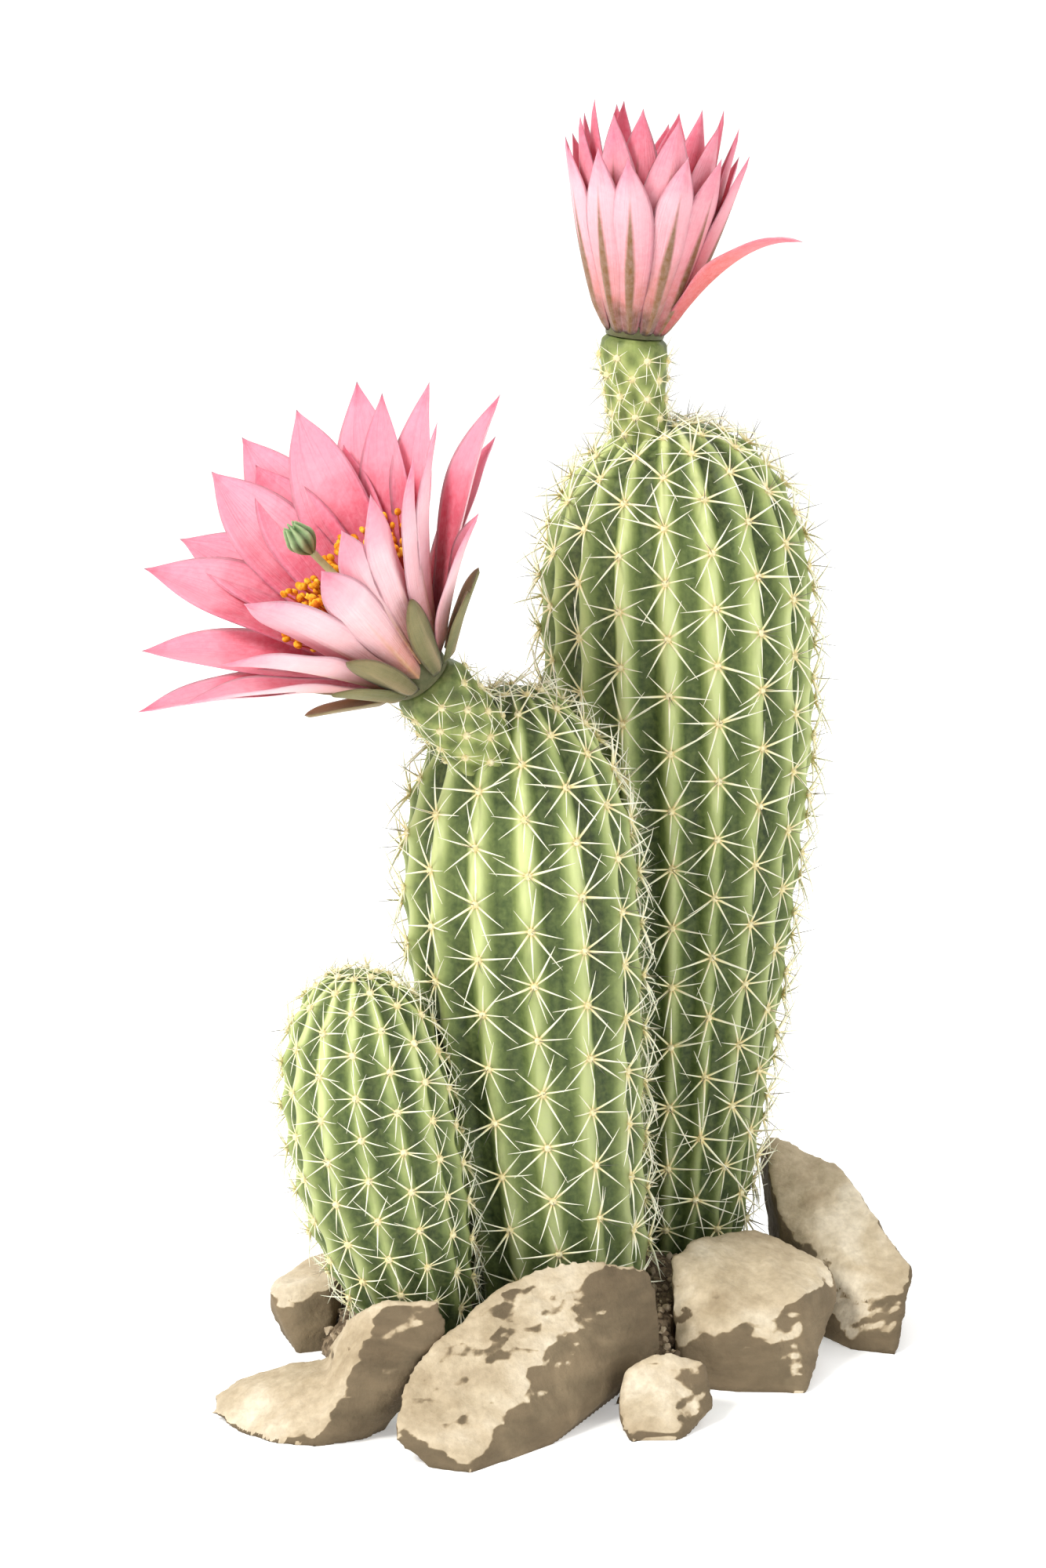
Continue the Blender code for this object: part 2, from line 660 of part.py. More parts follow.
def nearness(azimuth):
    """1 for a petal on the side that faces the front, and 0 for one at the sides or the back."""
    return min(1.0, max(0.0, 1.6 * math.cos(math.radians(azimuth - NEAR_SIDE))))


def open_petals(draw):
    petals = []
    for ring, azimuth, lean, length, width in OPEN_PETALS:
        lean += draw.uniform(-0.5, 0.5)
        petals.append(blade(
            azimuth, OPEN_RINGS[ring], length, width, (lean, lean + OPEN_SPREAD), OPEN_CURL,
        ))
    return petals


def upright_petals(draw):
    """The petals of every layer, evenly placed with a little seeded play, and the one bent out."""
    petals = []
    for layer in UPRIGHT_LAYERS:
        for number in range(layer["count"]):
            azimuth = layer["phase"] + 360.0 * number / layer["count"] + draw.uniform(-3, 3)
            sway = draw.uniform(-1.5, 1.5)
            length = layer["length"] * draw.uniform(0.96, 1.04)
            lean = [angle + sway for angle in layer["lean"]]
            petals.append(blade(azimuth, layer["root"], length, layer["width"], lean, layer["curl"]))
    return [*petals, blade(**UPRIGHT_LOOSE)]


def stamen(azimuth, foot_radius, length, lean):
    """A club-shaped stamen: a thin filament with a swollen anther at its end."""
    stations = ((0.0, 0.0), (0.02, 0.42), (0.9, 0.34), (0.95, ANTHER_RADIUS), (1.0, 0.0))
    bm, places = sphere_grid(3, len(stations) - 1)
    tilt = Matrix.Rotation(math.radians(azimuth), 3, "Z") @ Matrix.Rotation(math.radians(lean), 3, "Y")
    foot = Matrix.Rotation(math.radians(azimuth), 3, "Z") @ Vector((foot_radius, 0, DISC["floor"] + 0.9))
    for vertex, (column, row) in places.items():
        share, radius = stations[row]
        angle = math.tau * column / 3
        local = Vector((radius * math.cos(angle), radius * math.sin(angle), length * share))
        vertex.co = (foot + tilt @ local) * MM
    triangulate_evenly(bm)
    return bm


def stamen_bodies(rule, draw):
    """A flat ring in the cup's floor, and the stamens that stand on it in two circles."""
    low, high = DISC["floor"], DISC["floor"] + DISC["height"]
    inner, outer = DISC["inner"], DISC["outer"]
    bodies = [turned([(inner, low), (outer, low), (outer, high), (inner, high)])]
    for number in range(rule["count"]):
        azimuth = 360.0 * number / rule["count"] + draw.uniform(-3, 3)
        inner_circle = number % 2
        lean = rule["lean"] * (0.6 if inner_circle else 1.0)
        lean *= 1.0 - (1.0 - rule["near_lean"]) * nearness(azimuth)
        bodies.append(stamen(azimuth, 2.9 if inner_circle else 4.3, draw.uniform(*rule["length"]), lean))
    return bodies


def pistil_bodies(height):
    """The style on its foot, and the lobed stigma at its end."""
    foot = DISC["floor"]
    thin = PISTIL["style_radius"]
    style = turned([(0, foot), (1.4, foot), (thin, foot + 1.6), (thin, height), (0, height)], steps=6)
    lobes = PISTIL["lobes"]
    head, places = sphere_grid(lobes * 2, 6)
    for vertex, (column, row) in places.items():
        share = row / 6
        bulge = PISTIL["head_radius"] * math.sin(math.pi * min(1.0, 0.12 + 0.88 * share) ** 0.9)
        reach = 0.0 if row in (0, 6) else bulge * (1.0 if column % 2 == 0 else 0.78)
        angle = math.pi * column / lobes
        level = height - 1.2 + PISTIL["head_length"] * (1 - share)
        vertex.co = Vector((reach * math.cos(angle), reach * math.sin(angle), level)) * MM
    triangulate_evenly(head)
    return [style, head]


def sepal_bodies():
    low, high = TOUCH_GAP / MM, COLLAR["height"]
    inner, outer = COLLAR["inner"], COLLAR["outer"]
    bodies = [turned([(inner, low), (outer, low), (outer, high), (inner, high)])]
    for azimuth, lean, length in SEPALS:
        bodies.append(blade(
            azimuth, SEPAL["root"], length, SEPAL["width"], (lean, lean + SEPAL["spread"]), 0.0,
            cup=SEPAL["cup"], thickness=SEPAL["thickness"],
        ))
    return bodies


def stand_on(obj, top, axis):
    """Puts a bloom piece, modelled upright at the origin, on its tube's top face."""
    obj.matrix_world = Matrix.Translation(vector_mm(top)) @ axis_frame(axis).to_4x4()


def bloom(kind, grow_petals, collection, materials, with_sepals=True):
    """The pieces of one bloom, standing on the top face of its tube."""
    draw = random.Random(f"{kind} {SEED}")
    petals = [cup_body(), *grow_petals(draw)]
    pieces = [union_of(f"petals_{kind}", petals, collection, materials["petal"])]
    if with_sepals:
        pieces.append(union_of(f"sepals_{kind}", sepal_bodies(), collection, materials["sepal"]))
    stamens = stamen_bodies(STAMENS[kind], draw)
    pieces.append(union_of(f"stamens_{kind}", stamens, collection, materials["anther"]))
    pieces.append(union_of(f"pistil_{kind}", pistil_bodies(PISTIL_HEIGHTS[kind]), collection, materials["pistil"]))
    tube = TUBES[f"tube_{kind}"]
    for piece in pieces:
        stand_on(piece, tube["top"], tube["axis"])
    return pieces


# Stones and bed

def hull_body(corners):
    bm = bmesh.new()
    for corner in corners:
        bm.verts.new(vector_mm(corner))
    made = bmesh.ops.convex_hull(bm, input=bm.verts[:])
    spare = {g for key in ("geom_interior", "geom_unused") for g in made[key]}
    bmesh.ops.delete(bm, geom=[g for g in spare if isinstance(g, bmesh.types.BMVert)], context="VERTS")
    return bm


def roughen(obj, amount):
    """Splits each face once and moves the new corners a little, but not those on the ground."""
    bm = bmesh.new()
    bm.from_mesh(obj.data)
    bmesh.ops.triangulate(bm, faces=bm.faces[:])
    above = [e for e in bm.edges if max(v.co.z for v in e.verts) > 1.5 * MM]
    bmesh.ops.subdivide_edges(bm, edges=above, cuts=1, use_grid_fill=True)
    bm.normal_update()
    for vertex in bm.verts:
        if vertex.co.z > 1.5 * MM:
            wave = noise.noise(vertex.co * 90.0) + 0.5 * noise.noise(vertex.co * 210.0)
            vertex.co += vertex.normal * (wave * amount)
    bmesh.ops.triangulate(bm, faces=bm.faces[:])
    bm.to_mesh(obj.data)
    bm.free()


def stone(name, hulls, collection, material, cutters):
    """A stone, and the plainer and slightly larger body that cuts its seat in the bed."""
    bodies = [hull_body(corners) for corners in hulls]
    obj = union_of(name, bodies, collection, material)
    seat = obj.copy()
    seat.data = obj.data.copy()
    seat.name = name + "_seat"
    cutters.objects.link(make_helper(seat))
    grow_about_middle(seat.data, STONE_SEAT_GAP)
    roughen(obj, STONE_ROUGHNESS)
    return obj


def grow_about_middle(mesh, margin):
    """Scales a mesh about its middle, so that its box grows by the margin on every side."""
    points = [vertex.co.copy() for vertex in mesh.vertices]
    middle = sum(points, Vector()) / len(points)
    half = [0.5 * (max(p[i] for p in points) - min(p[i] for p in points)) for i in range(3)]
    grow = Matrix.Diagonal([1.0 + margin / h for h in half])
    for vertex, point in zip(mesh.vertices, points):
        vertex.co = middle + grow @ (point - middle)


def bed_body():
    """A low mound with a flat underside and a thin rim."""
    rings = ((0.0, 1.0), (0.45, 0.96), (0.72, 0.66), (0.9, 0.34), (1.0, 0.0))  # reach and height shares
    steps = BED["steps"]
    bm, places = sphere_grid(steps, len(rings) + 1)
    for vertex, (column, row) in places.items():
        if row > len(rings):
            reach, level = 0.0, 0.0
        elif row == len(rings):
            reach, level = 1.0, 0.0
        else:
            reach, height = rings[row]
            level = BED["rim"] + (BED["top"] - BED["rim"]) * height
        angle = math.tau * column / steps
        spot = Vector((
            BED["centre"][0] + BED["half"][0] * reach * math.cos(angle),
            BED["centre"][1] + BED["half"][1] * reach * math.sin(angle), level,
        ))
        if 0 < row < len(rings):
            spot.z += 1.3 * noise.noise(spot * 0.11)
        vertex.co = spot * MM
    triangulate_evenly(bm)
    return bm


def build():
    clear_scene()
    parts = new_collection("hedgehog_cactus")
    cutters = new_collection("cutters", hidden=True)
    materials = {
        "skin": new_material("cactus_skin", SKIN, 0.55),
        "tube": new_material("tube_skin", TUBE_SKIN, 0.6),
        "petal": new_material("petal_pink", PETAL_PINK, 0.5),
        "sepal": new_material("sepal_olive", SEPAL_OLIVE, 0.6),
        "anther": new_material("anther_orange", ANTHER_ORANGE, 0.7),
        "pistil": new_material("pistil_green", PISTIL_GREEN, 0.55),
        "stone": new_material("sandstone", STONE_TAN, 0.85),
        "bed": new_material("grit", BED_BROWN, 0.95),
    }
    stones = [stone(name, hulls, parts, materials["stone"], cutters) for name, hulls in STONES.items()]

    stems, tubes, carriers = {}, {}, {}
    for name, stem in STEMS.items():
        bm, carriers[name] = ribbed_stem(stem)
        stems[name] = bm
    for name, tube in TUBES.items():
        bm, carriers[name] = ribbed_tube(tube)
        tubes[name] = bm

    bed = new_object("grit_bed", bed_body(), parts, materials["bed"])
    for name, stem in STEMS.items():
        socket, _ = ribbed_stem(stem, SOCKET_SLACK, SOCKET_SIDES)
        make_helper(new_object(name + "_socket", socket, cutters))
    add_boolean(bed, "DIFFERENCE", cutters)
    apply_modifiers(bed)

    blooms = bloom("open", open_petals, parts, materials)
    blooms += bloom("upright", upright_petals, parts, materials, with_sepals=False)
    bpy.context.view_layer.update()

    seats = {name: swollen_body(bm, SEAT_GAP) for name, bm in stems.items()}
    own = {name: BVHTree.FromBMesh(bm) for name, bm in (stems | tubes).items()}
    fixed = [tree_of(obj) for obj in [*stones, bed, *blooms]]
    field = SpineField()
    draw = random.Random(SEED)
    for name, bm in (stems | tubes).items():
        length = (STEMS | TUBES)[name]["spine"]
        others = fixed + [tree for other, tree in own.items() if other != name]
        open_air = [
            v for v in carriers[name]
            if all(tree.find_nearest(v.co, 2.4 * MM)[0] is None for tree in others)
            and v.co.z > BED["top"] * MM
        ]
        inside = own[TUBES[name]["stem"]] if name in TUBES else None
        if inside is not None:
            open_air = [v for v in open_air if is_outside(inside, v.co)]
        hidden = [own[t] for t, spec in TUBES.items() if spec["stem"] == name]
        open_air = [v for v in open_air if all(is_outside(tree, v.co) for tree in hidden)]
        open_air = spaced(open_air, AREOLE_GAP)
        grown = grow_spines(bm, open_air, length, own[name], others, field, draw)
        print(name, "areoles", len(open_air), "spines", grown)

    for name, bm in stems.items():
        new_object(name, bm, parts, materials["skin"])
    for name, bm in tubes.items():
        obj = new_object(name, bm, parts, materials["tube"])
        helper = make_helper(new_object(name + "_seat", seats[TUBES[name]["stem"]], cutters))
        add_boolean(obj, "DIFFERENCE", helper, "MANIFOLD")
    for obj in parts.objects:
        if obj.name.startswith(("stem", "petals", "tube", "pistil")):
            obj.data.shade_smooth()
            obj.data.set_sharp_from_angle(angle=math.radians(50))


build()
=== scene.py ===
import math
import random

import bmesh
import bpy
import numpy as np
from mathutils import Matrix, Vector, noise
from mathutils.bvhtree import BVHTree


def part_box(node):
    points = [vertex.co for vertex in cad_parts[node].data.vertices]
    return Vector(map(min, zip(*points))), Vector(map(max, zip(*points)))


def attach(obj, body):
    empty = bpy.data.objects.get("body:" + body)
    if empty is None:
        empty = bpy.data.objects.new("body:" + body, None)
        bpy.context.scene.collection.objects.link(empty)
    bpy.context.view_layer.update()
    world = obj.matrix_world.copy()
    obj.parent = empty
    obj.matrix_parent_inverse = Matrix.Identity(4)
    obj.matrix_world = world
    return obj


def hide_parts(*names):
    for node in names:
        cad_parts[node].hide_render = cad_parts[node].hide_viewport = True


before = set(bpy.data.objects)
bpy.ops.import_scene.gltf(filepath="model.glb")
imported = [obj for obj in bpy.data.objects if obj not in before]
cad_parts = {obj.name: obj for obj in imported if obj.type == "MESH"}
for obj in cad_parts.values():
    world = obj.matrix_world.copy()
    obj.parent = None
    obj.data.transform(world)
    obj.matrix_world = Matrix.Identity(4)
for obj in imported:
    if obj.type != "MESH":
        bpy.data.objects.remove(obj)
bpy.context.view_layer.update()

mm = 0.001
turnAround = math.tau
seed = 7  # same draws as the solids


# small helpers

def vec(values):
    return np.array(values, float)


def unit(v):
    return v / np.linalg.norm(v, axis=-1, keepdims=True)


def meshPiece(name, points, faces, materials, pointValues=None, faceMaterials=None, smooth=True):
    # a mesh object at the origin, with float attributes for the materials
    mesh = bpy.data.meshes.new(name)
    mesh.from_pydata([tuple(p) for p in points], [], [tuple(int(i) for i in f) for f in faces])
    for material in materials:
        mesh.materials.append(material)
    for key, values in (pointValues or {}).items():
        values = np.asarray(values, np.float32)
        kind = "FLOAT_VECTOR" if values.ndim == 2 else "FLOAT"
        layer = mesh.attributes.new(key, kind, "POINT")
        layer.data.foreach_set("vector" if kind == "FLOAT_VECTOR" else "value", values.ravel())
    if faceMaterials is not None:
        mesh.polygons.foreach_set("material_index", np.asarray(faceMaterials, np.int32))
    if smooth and faces:
        mesh.shade_smooth()
    mesh.update()
    piece = bpy.data.objects.new(name, mesh)
    bpy.context.scene.collection.objects.link(piece)
    return piece


def settle(piece, slotName, *nodes):
    # every piece of the plant stands still on the one body
    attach(piece, "root")
    if nodes:
        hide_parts(*nodes)
    return piece


def facesOutward(piece):
    bm = bmesh.new()
    bm.from_mesh(piece.data)
    bmesh.ops.recalc_face_normals(bm, faces=bm.faces)
    bm.to_mesh(piece.data)
    bm.free()
    return piece


def tubeFaces(rows, columns):
    # quads of a grid that closes round, between a pole at each end; row by row
    faces = []
    for c in range(columns):
        faces.append((0, 1 + c, 1 + (c + 1) % columns))
    for r in range(rows - 1):
        a = 1 + r * columns
        b = a + columns
        for c in range(columns):
            d = (c + 1) % columns
            faces.append((a + c, b + c, b + d, a + d))
    last = 1 + rows * columns
    a = last - columns
    for c in range(columns):
        faces.append((a + c, last, a + (c + 1) % columns))
    return faces


def roundAngles(columns):
    return turnAround * np.arange(columns) / columns


def treeOf(piece):
    graph = bpy.context.evaluated_depsgraph_get()
    return BVHTree.FromObject(piece, graph)


# shader nodes

def put(tree, kind, inputs=None, **settings):
    node = tree.nodes.new(kind)
    for name, value in settings.items():
        setattr(node, name, value)
    for name, value in (inputs or {}).items():
        socket = node.inputs[name]
        if isinstance(value, bpy.types.NodeSocket):
            tree.links.new(value, socket)
        else:
            socket.default_value = value
    return node


def newGroup(name, ins, outs, kind="ShaderNodeTree"):
    group = bpy.data.node_groups.new(name, kind)
    for title, socketType, value in ins:
        socket = group.interface.new_socket(name=title, in_out="INPUT", socket_type=socketType)
        if value is not None:
            socket.default_value = value
    for title, socketType in outs:
        group.interface.new_socket(name=title, in_out="OUTPUT", socket_type=socketType)
    return group, put(group, "NodeGroupInput"), put(group, "NodeGroupOutput")


def mottleGroup():
    # cloudy patches with soft edges, as a mask from 0 to 1
    group, into, out = newGroup(
        "mottle",
        [("Vector", "NodeSocketVector", None), ("Scale", "NodeSocketFloat", 60.0),
         ("Stretch", "NodeSocketVector", (1.0, 1.0, 1.0)), ("Contrast", "NodeSocketFloat", 1.0)],
        [("Mask", "NodeSocketFloat")],
    )
    stretch = put(group, "ShaderNodeVectorMath", operation="MULTIPLY")
    group.links.new(into.outputs["Vector"], stretch.inputs[0])
    group.links.new(into.outputs["Stretch"], stretch.inputs[1])
    cloud = put(group, "ShaderNodeTexNoise", {
        "Vector": stretch.outputs[0], "Scale": into.outputs["Scale"], "Detail": 5.0, "Roughness": 0.58,
        "Distortion": 0.35,
    })
    centred = put(group, "ShaderNodeMath", operation="SUBTRACT")
    group.links.new(cloud.outputs["Fac"], centred.inputs[0])
    centred.inputs[1].default_value = 0.5
    spread = put(group, "ShaderNodeMath", operation="MULTIPLY_ADD", use_clamp=True)
    group.links.new(centred.outputs[0], spread.inputs[0])
    group.links.new(into.outputs["Contrast"], spread.inputs[1])
    spread.inputs[2].default_value = 0.5
    group.links.new(spread.outputs[0], out.inputs["Mask"])
    return group


def grainGroup():
    # fine relief from two sizes of noise, for Bump
    group, into, out = newGroup(
        "fineGrain",
        [("Vector", "NodeSocketVector", None), ("Scale", "NodeSocketFloat", 400.0),
         ("Coarse Share", "NodeSocketFloat", 0.5)],
        [("Height", "NodeSocketFloat")],
    )
    fine = put(group, "ShaderNodeTexNoise", {
        "Vector": into.outputs["Vector"], "Scale": into.outputs["Scale"], "Detail": 4.0, "Roughness": 0.6,
    })
    wide = put(group, "ShaderNodeMath", operation="MULTIPLY")
    group.links.new(into.outputs["Scale"], wide.inputs[0])
    wide.inputs[1].default_value = 0.22
    coarse = put(group, "ShaderNodeTexNoise", {
        "Vector": into.outputs["Vector"], "Scale": wide.outputs[0], "Detail": 3.0,
    })
    mix = put(group, "ShaderNodeMix", data_type="FLOAT")
    group.links.new(into.outputs["Coarse Share"], mix.inputs[0])
    group.links.new(fine.outputs["Fac"], mix.inputs[2])
    group.links.new(coarse.outputs["Fac"], mix.inputs[3])
    group.links.new(mix.outputs[0], out.inputs["Height"])
    return group


mottle = mottleGroup()
fineGrain = grainGroup()


def useGroup(tree, group, inputs):
    node = tree.nodes.new("ShaderNodeGroup")
    node.node_tree = group
    for name, value in inputs.items():
        if isinstance(value, bpy.types.NodeSocket):
            tree.links.new(value, node.inputs[name])
        else:
            node.inputs[name].default_value = value
    return node


def attribute(tree, name):
    return put(tree, "ShaderNodeAttribute", attribute_name=name).outputs["Fac"]


def ramp(tree, factor, stops):
    # stops are (place, colour)
    node = put(tree, "ShaderNodeValToRGB")
    points = node.color_ramp.elements
    while len(points) < len(stops):
        points.new(0.5)
    for point, (place, colour) in zip(points, stops):
        point.position = place
        point.color = (*colour, 1.0)
    tree.links.new(factor, node.inputs["Fac"])
    return node.outputs["Color"]


def mixColour(tree, factor, first, second):
    node = put(tree, "ShaderNodeMix", data_type="RGBA")
    for socket, value in ((node.inputs[0], factor), (node.inputs[6], first), (node.inputs[7], second)):
        if isinstance(value, bpy.types.NodeSocket):
            tree.links.new(value, socket)
        elif socket == node.inputs[0]:
            socket.default_value = value
        else:
            socket.default_value = (*value, 1.0)
    return node.outputs[2]


def calc(tree, operation, *values, clamp=False):
    node = put(tree, "ShaderNodeMath", operation=operation, use_clamp=clamp)
    for socket, value in zip(node.inputs, values):
        if isinstance(value, bpy.types.NodeSocket):
            tree.links.new(value, socket)
        else:
            socket.default_value = value
    return node.outputs[0]


def newMaterial(name, values):
    # a Principled material whose constant values sit on its own sockets
    material = bpy.data.materials.new(name)
    material.use_nodes = True
    tree = material.node_tree
    shader = tree.nodes["Principled BSDF"]
    for key, value in values.items():
        shader.inputs[key].default_value = value
    place = put(tree, "ShaderNodeTexCoord").outputs["Object"]
    return material, tree, shader, place


def bumpFrom(tree, shader, height, distance, strength=1.0):
    bump = put(tree, "ShaderNodeBump", {"Height": height, "Distance": distance, "Strength": strength})
    tree.links.new(bump.outputs["Normal"], shader.inputs["Normal"])


def skinMaterial(name, look):
    # waxy skin: rib crests painted pale as a highlight and furrows painted dark as shade, streaks along the
    # ribs, darker toward the foot
    material, tree, shader, place = newMaterial(name, {
        "Subsurface Weight": 0.06, "Subsurface Scale": 0.004, "Subsurface Radius": (0.6, 1.0, 0.3),
        "Specular IOR Level": 0.35,
    })
    crest = attribute(tree, "crest")
    low = attribute(tree, "low")
    streak = useGroup(tree, mottle, {
        "Vector": place, "Scale": look["streakScale"], "Stretch": (1.0, 1.0, 0.16), "Contrast": 2.6,
    }).outputs["Mask"]
    cloud = useGroup(tree, mottle, {
        "Vector": place, "Scale": 30.0, "Stretch": (1.0, 1.0, 0.5), "Contrast": 2.8,
    }).outputs["Mask"]
    speck = useGroup(tree, mottle, {"Vector": place, "Scale": 620.0, "Contrast": 3.0}).outputs["Mask"]
    # painted highlight on the rib crests and painted shade in the furrows, mixed with streaks and cloudy
    # patches
    crestLightAndStreaks = calc(tree, "MULTIPLY_ADD", streak, 0.40, calc(tree, "MULTIPLY_ADD", crest, 0.78, -0.24))
    crestLightAndStreaks = calc(tree, "MULTIPLY_ADD", cloud, 0.36, crestLightAndStreaks, clamp=True)
    body = ramp(tree, crestLightAndStreaks, look["stops"])
    dark = mixColour(tree, calc(tree, "MULTIPLY", low, look["lowShare"]), body, look["low"])
    flecked = mixColour(tree, calc(tree, "MULTIPLY", speck, 0.16), dark, look["fleck"])
    tree.links.new(flecked, shader.inputs["Base Color"])
    rough = calc(tree, "MULTIPLY_ADD", speck, 0.16, calc(tree, "MULTIPLY_ADD", crest, -0.10, 0.52))
    tree.links.new(rough, shader.inputs["Roughness"])
    grain = useGroup(tree, fineGrain, {"Vector": place, "Scale": 900.0, "Coarse Share": 0.45})
    bumpFrom(tree, shader, grain.outputs["Height"], 0.0004, 0.6)
    return material


# colour stops from the painted shade deep in the furrows to the painted highlight on the rib crests
stemLook = {
    "streakScale": 95.0,
    "stops": (
        (0.0, (0.022, 0.036, 0.009)), (0.30, (0.058, 0.092, 0.023)), (0.58, (0.165, 0.215, 0.066)),
        (0.80, (0.35, 0.41, 0.150)), (1.0, (0.60, 0.66, 0.30)),
    ),
    "low": (0.024, 0.046, 0.011), "lowShare": 0.75, "fleck": (0.50, 0.60, 0.20),
}
# colour stops from the painted shade between the knobs to the painted highlight on their tops
tubeLook = {
    "streakScale": 150.0,
    "stops": (
        (0.0, (0.040, 0.055, 0.012)), (0.35, (0.10, 0.14, 0.032)), (0.65, (0.24, 0.30, 0.085)),
        (1.0, (0.48, 0.52, 0.20)),
    ),
    "low": (0.16, 0.22, 0.05), "lowShare": 0.0, "fleck": (0.62, 0.62, 0.25),
}


def spineMaterial():
    material, tree, shader, place = newMaterial("spineCream", {
        "Specular IOR Level": 0.4, "Subsurface Weight": 0.1, "Subsurface Scale": 0.001,
    })
    along = attribute(tree, "along")
    cloud = useGroup(tree, mottle, {"Vector": place, "Scale": 300.0, "Contrast": 2.4}).outputs["Mask"]
    horn = ramp(tree, along, (
        (0.0, (0.66, 0.46, 0.15)), (0.14, (0.88, 0.80, 0.46)), (0.45, (0.93, 0.91, 0.74)),
        (1.0, (0.90, 0.87, 0.70)),
    ))
    aged = mixColour(tree, calc(tree, "MULTIPLY", cloud, 0.2), horn, (0.84, 0.74, 0.46))
    tree.links.new(aged, shader.inputs["Base Color"])
    tree.links.new(calc(tree, "MULTIPLY_ADD", cloud, 0.2, 0.38), shader.inputs["Roughness"])
    grain = useGroup(tree, fineGrain, {"Vector": place, "Scale": 2600.0, "Coarse Share": 0.3})
    bumpFrom(tree, shader, grain.outputs["Height"], 0.0001, 0.5)
    return material


def bristleMaterial():
    material, tree, shader, place = newMaterial("bristleGrey", {})
    along = attribute(tree, "along")
    tree.links.new(ramp(tree, along, (
        (0.0, (0.42, 0.34, 0.16)), (0.45, (0.16, 0.15, 0.11)), (1.0, (0.05, 0.05, 0.05)),
    )), shader.inputs["Base Color"])
    grain = useGroup(tree, fineGrain, {"Vector": place, "Scale": 2600.0})
    tree.links.new(calc(tree, "MULTIPLY_ADD", grain.outputs["Height"], 0.3, 0.4), shader.inputs["Roughness"])
    return material


def feltMaterial():
    material, tree, shader, place = newMaterial("areoleFelt", {
        "Roughness": 0.95, "Specular IOR Level": 0.1, "Sheen Weight": 0.3,
    })
    cloud = useGroup(tree, mottle, {"Vector": place, "Scale": 900.0, "Contrast": 3.0}).outputs["Mask"]
    straw = mixColour(tree, cloud, (0.72, 0.60, 0.26), (0.92, 0.86, 0.58))
    tree.links.new(straw, shader.inputs["Base Color"])
    bumpFrom(tree, shader, cloud, 0.0003, 0.8)
    return material


# Stems

stemSizes = {
    "stem_tall": {
        "apex": (35.0, 33.0, 221.5), "bend": (42.0, 30.0, 130.0), "foot": (36.5, 23.0, 6.0),
        "radius": 33.0, "dome": 50.0, "fullness": 2.15, "taperFrom": 82.0, "taper": 0.50,
        "taperPower": 1.15, "ribs": 18, "areoles": 16, "ribDepth": 0.115, "spine": 11.0, "turn": 4.0,
        "rows": 170, "perRib": 12,
    },
    "stem_middle": {
        "apex": (-2.2, -20.0, 166.0), "bend": (-1.5, -17.5, 90.0), "foot": (10.0, -14.0, 6.0),
        "radius": 27.6, "dome": 50.0, "fullness": 2.0, "taperFrom": 62.0, "taper": 0.24,
        "taperPower": 1.3, "ribs": 14, "areoles": 13, "ribDepth": 0.115, "spine": 10.5, "turn": -8.0,
        "rows": 140, "perRib": 14,
    },
    "stem_small": {
        "apex": (-38.5, -42.5, 103.5), "bend": (-37.5, -40.0, 56.0), "foot": (-19.5, -37.5, 6.0),
        "radius": 19.6, "dome": 36.0, "fullness": 2.2, "taperFrom": 50.0, "taper": 0.58,
        "taperPower": 1.6, "ribs": 14, "areoles": 11, "ribDepth": 0.105, "spine": 8.0, "turn": 10.0,
        "rows": 110, "perRib": 10,
    },
}
areoleRelief = {
    "bump": 0.75, "dip": 0.35, "width": 2.6, "firstShare": 0.42, "gap": 3.6, "lowest": 21.0, "step": 0.8,
}


def stemProfile(stem):
    # depth below the apex, crest radius and length along the skin
    full = stem["apex"][2] - stem["foot"][2]
    depth = full * np.linspace(0.0, 1.0, 900) ** 2
    dome = np.where(
        depth < stem["dome"],
        (1.0 - (1.0 - np.minimum(depth / stem["dome"], 1.0)) ** stem["fullness"]) ** (1.0 / stem["fullness"]),
        1.0,
    )
    below = np.maximum(0.0, depth - stem["taperFrom"]) / (full - stem["taperFrom"])
    radius = stem["radius"] * dome * (1.0 - stem["taper"] * below ** stem["taperPower"])
    radius[0] = 0.0
    skin = np.concatenate([[0.0], np.cumsum(np.hypot(np.diff(depth), np.diff(radius)))])
    return depth, radius, skin


def centreLine(stem, share):
    share = np.asarray(share, float)[..., None]
    apex, bend, foot = (vec(stem[k]) for k in ("apex", "bend", "foot"))
    centre = apex * (1 - share) ** 2 + bend * 2 * share * (1 - share) + foot * share ** 2
    upward = unit((apex - bend) * (1 - share) + (bend - foot) * share)
    side = unit(vec((1, 0, 0)) - upward * upward[..., :1])
    return centre, upward, side, np.cross(upward, side)


def furrow(phase):
    # 0 on a rib's crest and 1 in the furrow
    return np.minimum(1.0, 0.62 * (1.0 - np.cos(turnAround * phase)))


def areolePlaces(stem, skinEnd):
    # rib number and length along the skin; neighbouring ribs stand half a pitch apart
    pitch = skinEnd / stem["areoles"]
    places = []
    for rib in range(stem["ribs"]):
        at = areoleRelief["firstShare"] * pitch + 0.5 * pitch * (rib % 2)
        while at < skinEnd - 0.3 * pitch:
            places.append((rib, at))
            at += pitch
    return places


def stemPoint(stem, profile, at, angle, lift=0.0):
    # point on the skin, or lift millimetres off it, for arrays of length along the skin and angle
    depth, radius, skin = profile
    down = np.interp(at, skin, depth)
    reach = np.interp(at, skin, radius)
    phase = (angle - math.radians(stem["turn"])) / turnAround * stem["ribs"]
    reach = reach * (1.0 - stem["ribDepth"] * furrow(phase)) + lift
    centre, _, side, away = centreLine(stem, down / depth[-1])
    return centre + (side * np.cos(angle)[..., None] + away * np.sin(angle)[..., None]) * reach[..., None]


